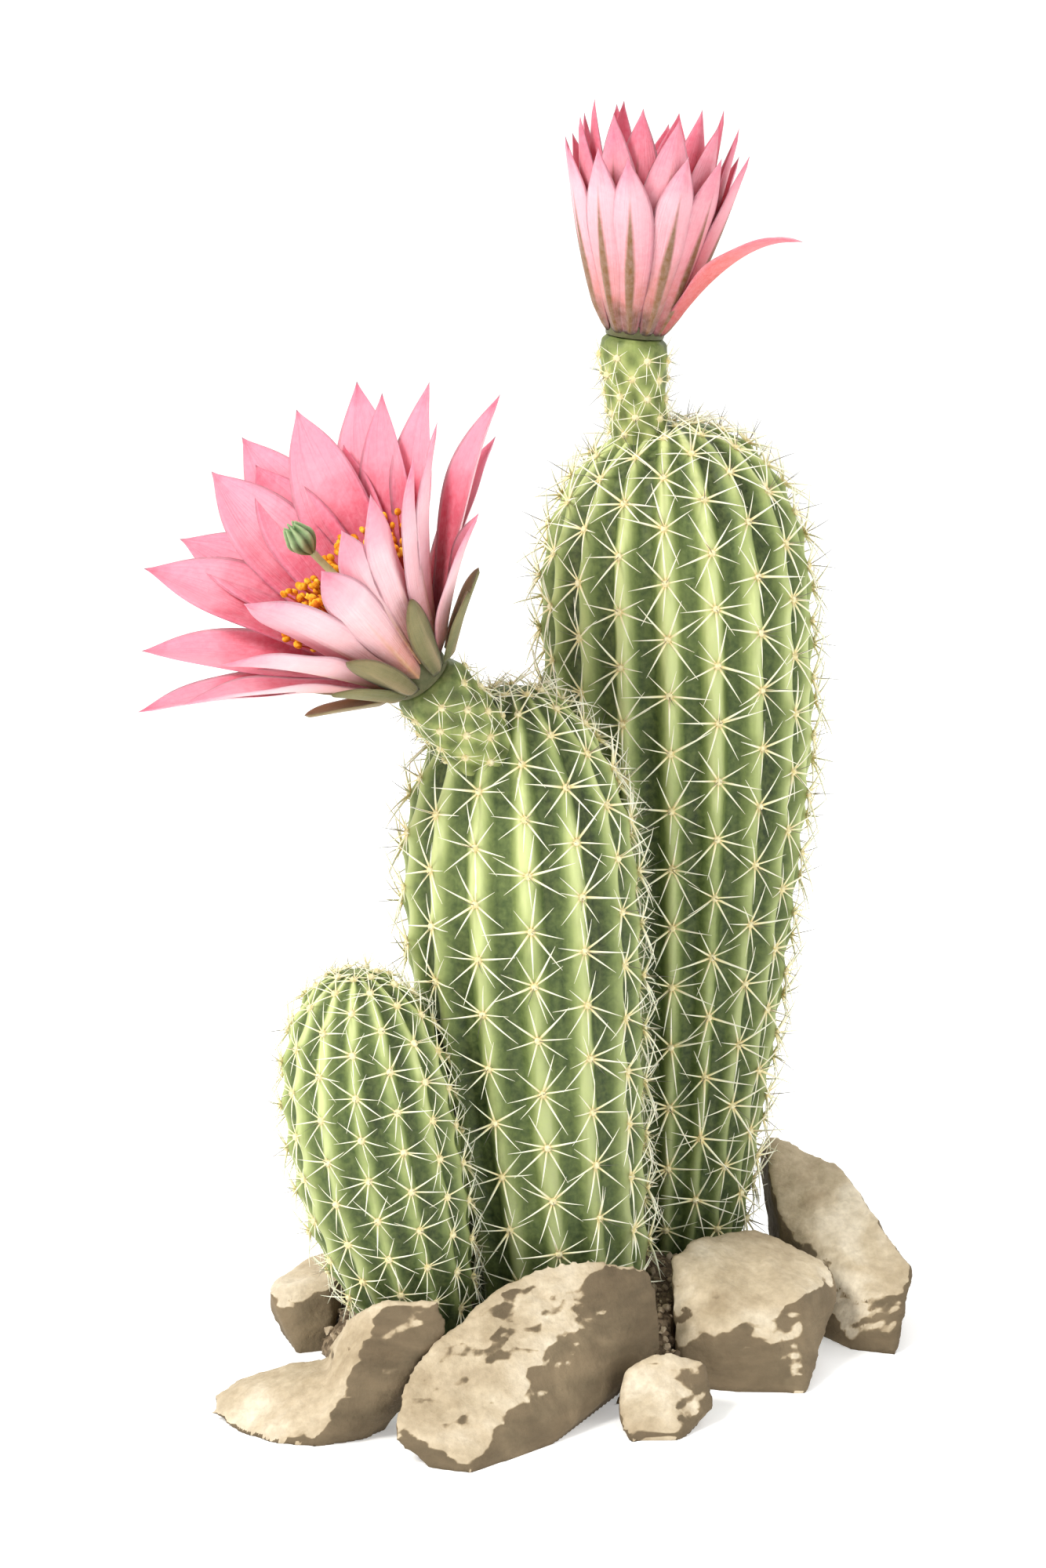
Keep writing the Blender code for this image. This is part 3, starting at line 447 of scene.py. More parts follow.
def areoleSwell(stem, profile, at, angle):
    # a low knob at each areole and a shallow dip between two along the rib
    pitch = profile[2][-1] / stem["areoles"]
    phase = (angle - math.radians(stem["turn"])) / turnAround * stem["ribs"]
    rib = np.round(phase)
    first = areoleRelief["firstShare"] * pitch + 0.5 * pitch * (rib % 2)
    along = (at - first) / pitch
    near = (along - np.round(along)) * pitch
    crest = np.exp(-((phase - rib) / 0.26) ** 2)
    reach = np.interp(at, profile[2], profile[1])
    fade = np.clip(reach / 9.0, 0.0, 1.0)
    knob = areoleRelief["bump"] * np.exp(-(near / areoleRelief["width"]) ** 2)
    return crest * fade * (knob - areoleRelief["dip"] * (1.0 - np.exp(-(near / (0.3 * pitch)) ** 2)))


def makeStem(name, stem, material):
    profile = stemProfile(stem)
    end = profile[2][-1]
    columns = stem["ribs"] * stem["perRib"]
    at = end * (np.arange(stem["rows"]) + 0.35) / (stem["rows"] - 0.65)
    angle = roundAngles(columns) + math.radians(stem["turn"])
    atGrid, angleGrid = np.meshgrid(at, angle, indexing="ij")
    lift = areoleSwell(stem, profile, atGrid, angleGrid)
    skin = stemPoint(stem, profile, atGrid, angleGrid, lift)
    phase = (angleGrid - math.radians(stem["turn"])) / turnAround * stem["ribs"]
    # 1 on a rib's crest and 0 in the furrow; the skin's painted highlight and painted shade follow it
    crest = 1.0 - furrow(phase)
    low = (atGrid / end) ** 2.2
    centre, _, _, _ = centreLine(stem, np.array([0.0, 1.0]))
    points = np.vstack([centre[:1], skin.reshape(-1, 3), centre[1:]]) * mm
    values = {
        "crest": np.concatenate([[0.7], crest.ravel(), [0.0]]),
        "low": np.concatenate([[0.0], low.ravel(), [1.0]]),
    }
    piece = meshPiece(name, points, tubeFaces(stem["rows"], columns), [material], values)
    return facesOutward(piece), profile


# Spines

spineSizes = {
    "girth": 0.030,  # radius at the foot, as a share of the length
    "bend": 0.07, "sides": 4, "steps": 5,
    "arms": (8, 9), "swing": 15.0, "tilt": (9.0, 25.0), "spread": (0.62, 1.08),
    "bristles": (1, 2), "bristleTilt": (52.0, 78.0), "bristleSpread": (0.45, 0.75),
    "tries": 5, "clear": 0.8,
}


def curveToMesh(tree, curve, profile, scale):
    # the thickness along a curve comes from Scale where the node has it, and else from the radius
    node = put(tree, "GeometryNodeCurveToMesh")
    node.inputs["Fill Caps"].default_value = True
    if "Scale" in node.inputs:
        tree.links.new(curve, node.inputs["Curve"])
        tree.links.new(scale, node.inputs["Scale"])
    else:
        sized = put(tree, "GeometryNodeSetCurveRadius", {"Curve": curve, "Radius": scale})
        tree.links.new(sized.outputs[0], node.inputs["Curve"])
    tree.links.new(profile, node.inputs["Profile Curve"])
    return node.outputs[0]


def fieldAttribute(tree, name, dataType):
    node = put(tree, "GeometryNodeInputNamedAttribute", data_type=dataType)
    node.inputs["Name"].default_value = name
    return next(s for s in node.outputs if s.enabled and s.name == "Attribute")


def placeAlong(tree, points, shape, size):
    # copies of a shape on points: its Z along "aim", its Y leaning to "over"
    turn = put(tree, "FunctionNodeAxesToRotation", primary_axis="Z", secondary_axis="Y")
    tree.links.new(fieldAttribute(tree, "aim", "FLOAT_VECTOR"), turn.inputs[0])
    tree.links.new(fieldAttribute(tree, "over", "FLOAT_VECTOR"), turn.inputs[1])
    copies = put(tree, "GeometryNodeInstanceOnPoints")
    tree.links.new(points, copies.inputs["Points"])
    tree.links.new(shape, copies.inputs["Instance"])
    tree.links.new(turn.outputs[0], copies.inputs["Rotation"])
    tree.links.new(size, copies.inputs["Scale"])
    return copies.outputs[0]


def finishTree(tree, geometry, materialSocket, out):
    real = put(tree, "GeometryNodeRealizeInstances")
    tree.links.new(geometry, real.inputs[0])
    smooth = put(tree, "GeometryNodeSetShadeSmooth")
    tree.links.new(real.outputs[0], smooth.inputs[0])
    dressed = put(tree, "GeometryNodeSetMaterial")
    tree.links.new(smooth.outputs[0], dressed.inputs["Geometry"])
    tree.links.new(materialSocket, dressed.inputs["Material"])
    tree.links.new(dressed.outputs[0], out.inputs[0])


def thornTree():
    # a tapering, slightly bowed thorn on every point, as long as the point's "size"
    tree, into, out = newGroup(
        "thorns",
        [("Geometry", "NodeSocketGeometry", None), ("Girth", "NodeSocketFloat", 0.03),
         ("Bend", "NodeSocketFloat", 0.06), ("Blunt", "NodeSocketFloat", 0.12),
         ("Sides", "NodeSocketInt", 4), ("Steps", "NodeSocketInt", 5),
         ("Material", "NodeSocketMaterial", None)],
        [("Geometry", "NodeSocketGeometry")], "GeometryNodeTree",
    )
    middle = put(tree, "ShaderNodeCombineXYZ", {"Y": into.outputs["Bend"], "Z": 0.5})
    line = put(tree, "GeometryNodeCurveQuadraticBezier", {
        "Resolution": into.outputs["Steps"], "Start": (0, 0, 0), "End": (0, 0, 1),
    })
    tree.links.new(middle.outputs[0], line.inputs["Middle"])
    share = put(tree, "GeometryNodeSplineParameter").outputs["Factor"]
    marked = put(tree, "GeometryNodeStoreNamedAttribute", data_type="FLOAT", domain="POINT")
    tree.links.new(line.outputs[0], marked.inputs["Geometry"])
    marked.inputs["Name"].default_value = "along"
    tree.links.new(share, next(s for s in marked.inputs if s.enabled and s.name == "Value"))
    steep = calc(tree, "POWER", share, 1.4)
    taper = put(tree, "ShaderNodeMapRange", {"Value": steep, "To Min": 1.0, "To Max": into.outputs["Blunt"]})
    ring = put(tree, "GeometryNodeCurvePrimitiveCircle", {
        "Resolution": into.outputs["Sides"], "Radius": into.outputs["Girth"],
    })
    thorn = curveToMesh(tree, marked.outputs[0], ring.outputs["Curve"], taper.outputs[0])
    copies = placeAlong(tree, into.outputs[0], thorn, fieldAttribute(tree, "size", "FLOAT"))
    finishTree(tree, copies, into.outputs["Material"], out)
    return tree


def beadTree():
    # an egg-shaped bead on every point, "size" long, Width times as wide
    tree, into, out = newGroup(
        "beads",
        [("Geometry", "NodeSocketGeometry", None), ("Width", "NodeSocketFloat", 0.6),
         ("Segments", "NodeSocketInt", 8), ("Rings", "NodeSocketInt", 5),
         ("Material", "NodeSocketMaterial", None)],
        [("Geometry", "NodeSocketGeometry")], "GeometryNodeTree",
    )
    ball = put(tree, "GeometryNodeMeshUVSphere", {
        "Segments": into.outputs["Segments"], "Rings": into.outputs["Rings"], "Radius": 0.5,
    })
    width = put(tree, "ShaderNodeCombineXYZ", {
        "X": into.outputs["Width"], "Y": into.outputs["Width"], "Z": 1.0,
    })
    egg = put(tree, "GeometryNodeTransform")
    tree.links.new(ball.outputs["Mesh"], egg.inputs["Geometry"])
    tree.links.new(width.outputs[0], egg.inputs["Scale"])
    copies = placeAlong(tree, into.outputs[0], egg.outputs[0], fieldAttribute(tree, "size", "FLOAT"))
    finishTree(tree, copies, into.outputs["Material"], out)
    return tree


thorns = thornTree()
beads = beadTree()


def grown(name, points, values, tree, inputs):
    # runs a tree once on a cloud of points and keeps the result as a plain mesh
    piece = meshPiece(name, points, [], [], values, smooth=False)
    modifier = piece.modifiers.new("grow", "NODES")
    modifier.node_group = tree
    sockets = {s.name: s.identifier for s in tree.interface.items_tree if s.in_out == "INPUT"}
    for key, value in inputs.items():
        modifier[sockets[key]] = value
    graph = bpy.context.evaluated_depsgraph_get()
    mesh = bpy.data.meshes.new_from_object(piece.evaluated_get(graph))
    piece.modifiers.clear()
    piece.data = mesh
    mesh.name = name
    for key in ("aim", "over", "size"):
        if key in mesh.attributes:
            mesh.attributes.remove(mesh.attributes[key])
    return piece


def pathClear(trees, start, end, margin):
    # nothing between the two points or close beside them
    a = Vector(start) * mm
    b = Vector(end) * mm
    way = b - a
    for tree in trees:
        if tree.ray_cast(a, way.normalized(), way.length + margin * mm)[0] is not None:
            return False
        for share in (0.3, 0.65, 1.0):
            if tree.find_nearest(a.lerp(b, share), margin * mm)[0] is not None:
                return False
    return True


def insideOf(tree, point):
    # an odd number of walls above the point
    direction = Vector((0.31, -0.17, 0.93)).normalized()
    crossings = 0
    spot = tree.ray_cast(Vector(point) * mm, direction)[0]
    while spot is not None:
        crossings += 1
        spot = tree.ray_cast(spot + direction * 1e-6, direction)[0]
    return crossings % 2 == 1


def starOfSpines(place, normal, upward, length, draw, others, collect, sizes=spineSizes):
    # radial spines round one areole, and one or two thin bristles that stand out
    up = unit(upward - normal * np.dot(upward, normal))
    side = np.cross(up, normal)
    arms = draw.randint(*sizes["arms"])
    start0 = draw.uniform(0.0, 360.0 / arms)
    for arm in range(arms):
        for _ in range(sizes["tries"]):
            angle = math.radians(start0 + 360.0 * arm / arms + draw.uniform(-sizes["swing"], sizes["swing"]))
            tilt = math.radians(draw.uniform(*sizes["tilt"]))
            reach = length * draw.uniform(*sizes["spread"])
            flat = side * math.cos(angle) + up * math.sin(angle)
            aim = flat * math.cos(tilt) + normal * math.sin(tilt)
            start = place + flat * 0.35 - normal * 0.15
            end = start + aim * reach
            if pathClear(others, start + aim * 0.8, end, sizes["clear"]):
                collect["spines"].append((start, aim, normal, reach))
                break
    for _ in range(draw.randint(*sizes["bristles"])):
        angle = math.radians(draw.uniform(0.0, 360.0))
        tilt = math.radians(draw.uniform(*sizes["bristleTilt"]))
        reach = length * draw.uniform(*sizes["bristleSpread"])
        aim = (side * math.cos(angle) + up * math.sin(angle)) * math.cos(tilt) + normal * math.sin(tilt)
        if pathClear(others, place + aim * 0.8, place + aim * reach, sizes["clear"]):
            collect["bristles"].append((place, aim, normal, reach))
    collect["felt"].append((place + normal * 0.1, normal, up, 1.5))


def cloudOf(rows):
    points = np.array([r[0] for r in rows]) * mm
    values = {
        "aim": np.array([r[1] for r in rows]), "over": np.array([r[2] for r in rows]),
        "size": np.array([r[3] for r in rows]) * mm,
    }
    return points, values


def makeSpines(name, collect, slotName, materials):
    made = []
    points, values = cloudOf(collect["spines"])
    made.append(grown(f"spines_{name}", points, values, thorns, {
        "Girth": spineSizes["girth"], "Bend": spineSizes["bend"], "Sides": spineSizes["sides"],
        "Steps": spineSizes["steps"], "Material": materials["spine"],
    }))
    points, values = cloudOf(collect["bristles"])
    made.append(grown(f"bristles_{name}", points, values, thorns, {
        "Girth": 0.020, "Bend": 0.05, "Sides": 3, "Steps": 4, "Material": materials["bristle"],
    }))
    points, values = cloudOf(collect["felt"])
    made.append(grown(f"areoles_{name}", points, values, beads, {
        "Width": 1.25, "Segments": 8, "Rings": 5, "Material": materials["felt"],
    }))
    for piece in made:
        settle(piece, slotName)
    return made


def stemStars(name, stem, profile, draw, others, hidden):
    collect = {"spines": [], "bristles": [], "felt": []}
    places = areolePlaces(stem, profile[2][-1])
    kept = []
    for rib, at in sorted(places, key=lambda p: p[1]):
        angle = turnAround * rib / stem["ribs"] + math.radians(stem["turn"])
        here, there, aside = (
            stemPoint(stem, profile, vec([a]), vec([g]), np.full(1, areoleRelief["bump"]))[0]
            for a, g in ((at, angle), (at - areoleRelief["step"], angle), (at, angle + 0.02))
        )
        upward = unit(there - here)
        # the crest's own slope along the stem, taken level round it
        around = unit(np.cross(vec((0, 0, 1)), here - centreLine(stem, np.array([0.5]))[0][0]))
        if np.dot(around, aside - here) < 0:
            around = -around
        normal = unit(np.cross(upward, around))
        if np.dot(normal, here - centreLine(stem, np.array([0.6]))[0][0]) < 0:
            normal = -normal
        if any(np.linalg.norm(here - k) < areoleRelief["gap"] for k in kept):
            continue
        if here[2] < areoleRelief["lowest"] or any(insideOf(tree, here) for tree in hidden):
            continue
        if not pathClear(others, here, here + normal * 1.0, 1.2):
            continue
        kept.append(here)
        fade = 0.72 + 0.28 * min(1.0, at / 25.0)
        starOfSpines(here, normal, upward, stem["spine"] * fade, draw, others, collect)
    print(name, "areoles", len(kept), "spines", len(collect["spines"]))
    return collect


# Flower tubes

tubeSizes = {
    "tube_upright": {
        "top": (26.8, 27.0, 242.6), "axis": (0.10, -0.03, 0.994), "sway": (4.6, 1.0), "stem": "stem_tall",
        "rings": ((0.0, 7.9), (3.2, 8.4), (8.2, 8.1), (13.4, 7.6), (18.6, 7.4), (27.0, 7.0)),
        "ribs": 7, "ribDepth": 0.09, "spine": 6.2, "turn": 8.0,
    },
    "tube_open": {
        "top": (-22.7, -36.0, 170.6), "axis": (-0.600, -0.262, 0.756), "sway": (0.0, 0.0),
        "stem": "stem_middle",
        "rings": ((0.0, 8.1), (3.2, 8.9), (8.4, 9.1), (13.6, 8.9), (19.0, 8.5), (31.0, 7.8)),
        "ribs": 7, "ribDepth": 0.09, "spine": 6.4, "turn": 0.0,
    },
}
tubeGrid = {"rows": 90, "perRib": 14, "knob": 0.55, "rowPitch": 4.6}


def axisFrame(axis):
    # columns: side, away and up, with up along the axis
    up = unit(vec(axis))
    side = unit(vec((1, 0, 0)) - up * up[0])
    return np.stack([side, np.cross(up, side), up], axis=1)


def smoothRadius(rings, down):
    # a smooth line through the ring radii
    depth = vec([r[0] for r in rings])
    radius = vec([r[1] for r in rings])
    slopes = np.gradient(radius, depth)
    k = np.clip(np.searchsorted(depth, down, side="right") - 1, 0, len(depth) - 2)
    span = depth[k + 1] - depth[k]
    t = np.clip((down - depth[k]) / span, 0.0, 1.0)
    return (
        radius[k] * (2 * t ** 3 - 3 * t ** 2 + 1) + slopes[k] * span * (t ** 3 - 2 * t ** 2 + t)
        + radius[k + 1] * (3 * t ** 2 - 2 * t ** 3) + slopes[k + 1] * span * (t ** 3 - t ** 2)
    )


def tubePoint(tube, down, angle, lift=0.0):
    last = tube["rings"][-1][0]
    row = down / tubeGrid["rowPitch"]
    phase = (angle - math.radians(tube["turn"])) / turnAround * tube["ribs"]
    # ribs break into knobs that stand half a rib apart
    wave = 0.5 + 0.5 * np.cos(turnAround * phase) * np.cos(math.pi * row)
    reach = smoothRadius(tube["rings"], down) - tubeGrid["knob"] * (1.0 - wave) + lift
    reach = reach * (1.0 - 0.12 * np.exp(-(down / 0.7) ** 2))
    sway = vec(tube["sway"]) * ((down / last) ** 1.5)[..., None]
    x = np.cos(angle) * reach + sway[..., 0]
    y = np.sin(angle) * reach + sway[..., 1]
    local = np.stack([x, y, -down], axis=-1)
    return vec(tube["top"]) + local @ axisFrame(tube["axis"]).T, wave


def makeTube(name, tube, material):
    rows = tubeGrid["rows"]
    columns = tube["ribs"] * tubeGrid["perRib"]
    last = tube["rings"][-1][0]
    down = last * np.linspace(0.0, 1.0, rows)
    angle = roundAngles(columns)
    downGrid, angleGrid = np.meshgrid(down, angle, indexing="ij")
    skin, wave = tubePoint(tube, downGrid, angleGrid)
    top = vec(tube["top"])
    foot = top + axisFrame(tube["axis"]) @ vec((*tube["sway"], -last))
    points = np.vstack([top[None], skin.reshape(-1, 3), foot[None]]) * mm
    # the knobs carry the painted highlight and the hollows between them painted shade; the highlight fades
    # out just under the flower
    rim = np.exp(-(downGrid / 3.0) ** 2)
    values = {
        "crest": np.concatenate([[0.1], (wave * (1.0 - 0.75 * rim)).ravel(), [0.0]]),
        "low": np.zeros(len(points)),
    }
    piece = meshPiece(name, points, tubeFaces(rows, columns), [material], values)
    return facesOutward(piece)


def tubeStars(name, tube, draw, others, hidden):
    collect = {"spines": [], "bristles": [], "felt": []}
    pitch = tubeGrid["rowPitch"]
    last = tube["rings"][-1][0]
    row = 1
    while row * pitch < last:
        for rib in range(tube["ribs"]):
            shift = 0.5 * (row % 2)
            angle = turnAround * (rib + shift) / tube["ribs"] + math.radians(tube["turn"])
            down = vec([row * pitch])
            here = tubePoint(tube, down, vec([angle]))[0][0]
            above = tubePoint(tube, down - 0.4, vec([angle]))[0][0]
            aside = tubePoint(tube, down, vec([angle + 0.05]))[0][0]
            upward = unit(above - here)
            normal = unit(np.cross(aside - here, upward))
            if any(insideOf(tree, here) for tree in hidden):
                continue
            if not pathClear(others, here, here + normal * 1.0, 0.8):
                continue
            starOfSpines(here, normal, upward, tube["spine"], draw, others, collect, sizes=tubeSpines)
        row += 1
    print(name, "spines", len(collect["spines"]))
    return collect


tubeSpines = {
    "arms": (6, 8), "swing": 16.0, "tilt": (8.0, 30.0), "spread": (0.6, 1.1),
    "bristles": (1, 2), "bristleTilt": (45.0, 70.0), "bristleSpread": (0.5, 0.9), "tries": 4, "clear": 0.5,
}


# Blooms: the same layers and draws as the solids, on finer blades

openRings = ((7.2, 3.2), (6.9, 4.4), (6.6, 5.0))  # radius and height of the petals' roots
openPetals = (  # ring, azimuth, lean at the root, length, width
    (0, 21, 45, 60, 17), (1, 45, 38, 60, 17), (1, 60, 36, 60, 16), (0, 72, 39, 68, 18), (1, 88, 32, 65, 18),
    (0, 104, 34, 70, 18), (0, 120, 31, 67, 18), (1, 131, 36, 62, 18), (0, 146, 34, 65, 18),
    (0, 170, 43, 59, 17), (0, 195, 46, 58, 16), (0, 234, 30, 52, 14), (0, 252, 21, 57, 14),
    (0, 285, 21, 51, 10.5), (1, 303, 19, 52, 10), (0, 322, 19, 55, 10.5), (0, 343, 25, 57, 11),
    (1, 356, 30, 59, 11), (0, 352, 42, 40, 12), (2, 80, 35, 52, 14), (2, 108, 33, 60, 17),
    (0, 33, 50, 50, 15), (0, 96, 49, 52, 15), (0, 158, 50, 52, 15), (0, 210, 40, 50, 14),
)
openSpread = {"lean": 14.0, "curl": 6.0}
uprightLayers = (
    {"count": 12, "root": (7.3, 1.3), "length": 47.0, "width": 10.8, "lean": (27.0, 8.0), "curl": 9.0,
     "phase": 20.0, "tone": 0.0},
    {"count": 9, "root": (6.9, 2.0), "length": 51.5, "width": 11.6, "lean": (22.0, 5.0), "curl": 3.0,
     "phase": 0.0, "tone": 0.55},
    {"count": 6, "root": (6.6, 2.8), "length": 53.0, "width": 11.5, "lean": (17.0, 1.0), "curl": 0.0,
     "phase": 10.0, "tone": 1.0},
)
loosePetal = {
    "azimuth": -30.0, "root": (7.3, 1.2), "length": 46.0, "width": 10.5, "lean": (29.0, 60.0), "curl": 36.0,
}
sepals = (  # azimuth, lean, length
    (15, 57, 21), (50, 57, 21), (90, 57, 21), (130, 57, 21), (170, 57, 21), (205, 55, 21),
    (240, 41, 22), (262, 29, 24), (318, 25, 24), (344, 51, 21),
)
sepalSize = {"root": (8.4, 1.7), "width": 7.4, "spread": 2.0}
nearSide = 285.0
petalShape = {
    "rows": 34, "across": 12, "widest": 0.6, "rootShare": 0.30, "tipPower": 2.2, "tipHollow": 1.3,
    "cup": 0.3, "skin": 0.42, "midrib": 0.8, "waver": 0.45, "drift": 2.2, "vein": 0.07,
}


def bladeWidth(share, shape):
    widest = shape["widest"]
    rising = shape["rootShare"] + (1 - shape["rootShare"]) * np.sin(
        0.5 * math.pi * np.minimum(share / widest, 1.0))
    falling = (1.0 - np.clip((share - widest) / (1.0 - widest), 0.0, 1.0) ** shape["tipPower"])
    return np.where(share < widest, rising, falling ** shape["tipHollow"])


def blade(azimuth, root, length, width, lean, curl, shape, play, tone):
    # a closed petal: an inner and an outer sheet that meet along the rim
    rows, across = shape["rows"], shape["across"]
    share = np.linspace(0.0, 1.0, rows)
    fine = np.linspace(0.0, 1.0, 401)
    angles = np.radians(lean[0] + (lean[1] - lean[0]) * fine + curl * fine ** 4)
    reach = root[0] + length * np.concatenate([[0], np.cumsum(np.sin(angles[1:])) / 400])
    height = root[1] + length * np.concatenate([[0], np.cumsum(np.cos(angles[1:])) / 400])
    angle = np.interp(share, fine, angles)
    outward = np.stack([np.cos(angle), np.zeros(rows), -np.sin(angle)], axis=1)
    side = vec((0.0, 1.0, 0.0))
    half = 0.5 * width * bladeWidth(share, shape)
    half[-1] = 0.0
    drift = play.uniform(-1, 1) * shape["drift"]
    hook = play.uniform(-1, 1) * shape["drift"]
    waves = play.uniform(1.2, 2.4)
    start = play.uniform(0, turnAround)
    middle = np.stack([
        np.interp(share, fine, reach), drift * share ** 2 + hook * share ** 5, np.interp(share, fine, height),
    ], axis=1)
    u = np.linspace(-1.0, 1.0, across + 1)
    inner = np.zeros((rows, across + 1, 3))
    outer = np.zeros_like(inner)
    for r in range(rows):
        edge = np.abs(u) ** 1.5
        waver = shape["waver"] * edge * np.sin(turnAround * waves * share[r] + start + 1.3 * np.sign(u))
        waver = waver * math.sin(math.pi * min(1.0, share[r] * 1.05)) * np.minimum(1.0, half[r] / 4.0)
        veins = shape["vein"] * np.cos(u * 7.5 * math.pi) * (1 - np.abs(u)) * math.sin(math.pi * share[r])
        bow = -shape["cup"] * half[r] * edge + waver + veins
        inner[r] = middle[r] + side * (half[r] * u)[:, None] + outward[r] * bow[:, None]
        midrib = shape["midrib"] * np.exp(-(u / 0.22) ** 2) * (1 - share[r]) ** 1.2
        body = shape["skin"] * (1 - u ** 4) + midrib
        body = body * min(1.0, 6.0 * share[r] + 0.15) * min(1.0, half[r] / 1.2)
        outer[r] = inner[r] + outward[r] * body[:, None]
    turn = math.radians(azimuth)
    spin = np.array([[math.cos(turn), -math.sin(turn), 0], [math.sin(turn), math.cos(turn), 0], [0, 0, 1]])
    inner = inner @ spin.T
    outer = outer @ spin.T
    index = np.arange(rows * (across + 1)).reshape(rows, across + 1)
    index[-1, :] = index[-1, 0]
    points = list(inner.reshape(-1, 3))
    along = list(np.repeat(share, across + 1))
    cross = list(np.tile(u, rows))
    back = index.copy()
    for r in range(1, rows - 1):
        for c in range(1, across):
            back[r, c] = len(points)
            points.append(outer[r, c])
            along.append(share[r])
            cross.append(u[c])
    faces, materials = [], []
    for r in range(rows - 1):
        for c in range(across):
            front = (index[r, c], index[r, c + 1], index[r + 1, c + 1], index[r + 1, c])
            behind = (back[r, c], back[r + 1, c], back[r + 1, c + 1], back[r, c + 1])
            for corners, which in ((front, 0), (behind, 1)):
                corners = tuple(dict.fromkeys(int(i) for i in corners))
                if len(corners) > 2:
                    faces.append(corners)
                    materials.append(which)
    return points, faces, materials, along, cross, [tone] * len(points)


def nearness(azimuth):
    return min(1.0, max(0.0, 1.6 * math.cos(math.radians(azimuth - nearSide))))


def bladesPiece(name, blades, tube, materials):
    # joins blades into one mesh and stands it on the tube's top
    points, faces, kinds, along, cross, tone = [], [], [], [], [], []
    for p, f, k, a, c, t in blades:
        offset = len(points)
        points += p
        faces += [tuple(i + offset for i in corners) for corners in f]
        kinds += k
        along += a
        cross += c
        tone += t
    spots = vec(tube["top"]) + np.array(points) @ axisFrame(tube["axis"]).T
    values = {"along": along, "across": cross, "tone": tone}
    piece = meshPiece(name, spots * mm, faces, materials, values, kinds)
    bm = bmesh.new()
    bm.from_mesh(piece.data)
    loose = [v for v in bm.verts if not v.link_faces]
    bmesh.ops.delete(bm, geom=loose, context="VERTS")
    bmesh.ops.recalc_face_normals(bm, faces=bm.faces)
    bm.to_mesh(piece.data)
    bm.free()
    return piece


def openBlades(draw, play):
    made = []
    for ring, azimuth, lean, length, width in openPetals:
        lean += draw.uniform(-0.5, 0.5)
        near = nearness(azimuth)
        tone = (0.0, 0.15, 0.75)[ring] + play.uniform(-0.12, 0.22) - 0.1 * near
        made.append(blade(
            azimuth, openRings[ring], length, width, (lean, lean + openSpread["lean"]), openSpread["curl"],
            petalShape, play, tone,
        ))
    return made


def uprightBlades(draw, play):
    made = []
    for layer in uprightLayers:
        for number in range(layer["count"]):
            azimuth = layer["phase"] + 360.0 * number / layer["count"] + draw.uniform(-3, 3)
            sway = draw.uniform(-1.5, 1.5)
            length = layer["length"] * draw.uniform(0.96, 1.04)
            lean = [angle + sway for angle in layer["lean"]]
            tone = layer["tone"] + play.uniform(-0.12, 0.3)
            made.append(blade(
                azimuth, layer["root"], length, layer["width"], lean, layer["curl"], uprightShape, play, tone,
            ))
    return made


def petalMaterial(name, look):
    # colour runs from root to tip, with a streak on the midrib, fine veins and a pale bloom
    material, tree, shader, place = newMaterial(name, {
        "Subsurface Weight": 0.22, "Subsurface Scale": 0.002, "Subsurface Radius": (1.0, 0.5, 0.5),
        "Specular IOR Level": 0.25, "Sheen Weight": 0.12, "Sheen Roughness": 0.5,
    })
    along = attribute(tree, "along")
    across = attribute(tree, "across")
    tone = attribute(tree, "tone")
    cloud = useGroup(tree, mottle, {"Vector": place, "Scale": 85.0, "Contrast": 2.4}).outputs["Mask"]
    drop = useGroup(tree, mottle, {"Vector": place, "Scale": 700.0, "Contrast": 2.6}).outputs["Mask"]
    shifted = calc(tree, "MULTIPLY_ADD", calc(tree, "SUBTRACT", cloud, 0.5), 0.16, along, clamp=True)
    base = ramp(tree, shifted, look["stops"])
    toneAmount = calc(tree, "MULTIPLY", tone, look["toneShare"], clamp=True)
    toned = mixColour(tree, toneAmount, base, look["toneColour"])
    width = calc(tree, "ABSOLUTE", across)
    # fine veins that fan out from the root
    fan = put(tree, "ShaderNodeCombineXYZ", {
        "X": calc(tree, "MULTIPLY", across, 7.0), "Y": calc(tree, "MULTIPLY", along, 1.3), "Z": tone,
    })
    veinNoise = put(tree, "ShaderNodeTexNoise", {"Vector": fan.outputs[0], "Scale": 2.2, "Detail": 4.0})
    vein = calc(tree, "MULTIPLY", calc(tree, "SUBTRACT", veinNoise.outputs["Fac"], 0.46), 2.6, clamp=True)
    veined = mixColour(tree, calc(tree, "MULTIPLY", vein, look["veinShare"]), toned, look["vein"])
    rimShade = calc(tree, "MULTIPLY", calc(tree, "POWER", width, 6.0), look["rimShare"])
    rimmed = mixColour(tree, rimShade, veined, look["rim"])
    # the midrib's streak thins out upward and stops part way
    reachLeft = calc(tree, "SUBTRACT", look["streakEnd"], along)
    fade = calc(tree, "MULTIPLY", reachLeft, 1.0 / look["streakFade"], clamp=True)
    thick = calc(tree, "MULTIPLY_ADD", fade, look["streakWidth"], 0.03)
    within = calc(tree, "SUBTRACT", 1.0, calc(tree, "DIVIDE", width, thick), clamp=True)
    streak = calc(tree, "MULTIPLY", calc(tree, "MULTIPLY", within, fade), look["streakShare"])
    streak = calc(tree, "MULTIPLY", streak, calc(tree, "MULTIPLY_ADD", cloud, 0.6, 0.7), clamp=True)
    striped = mixColour(tree, streak, rimmed, look["streak"])
    paper = mixColour(tree, calc(tree, "MULTIPLY", drop, 0.14), striped, look["drop"])
    tree.links.new(paper, shader.inputs["Base Color"])
    tree.links.new(calc(tree, "MULTIPLY_ADD", drop, 0.2, 0.42), shader.inputs["Roughness"])
    height = calc(tree, "MULTIPLY_ADD", drop, 0.35, calc(tree, "MULTIPLY", vein, -0.8))
    bumpFrom(tree, shader, height, 0.00022, 0.7)
    return material


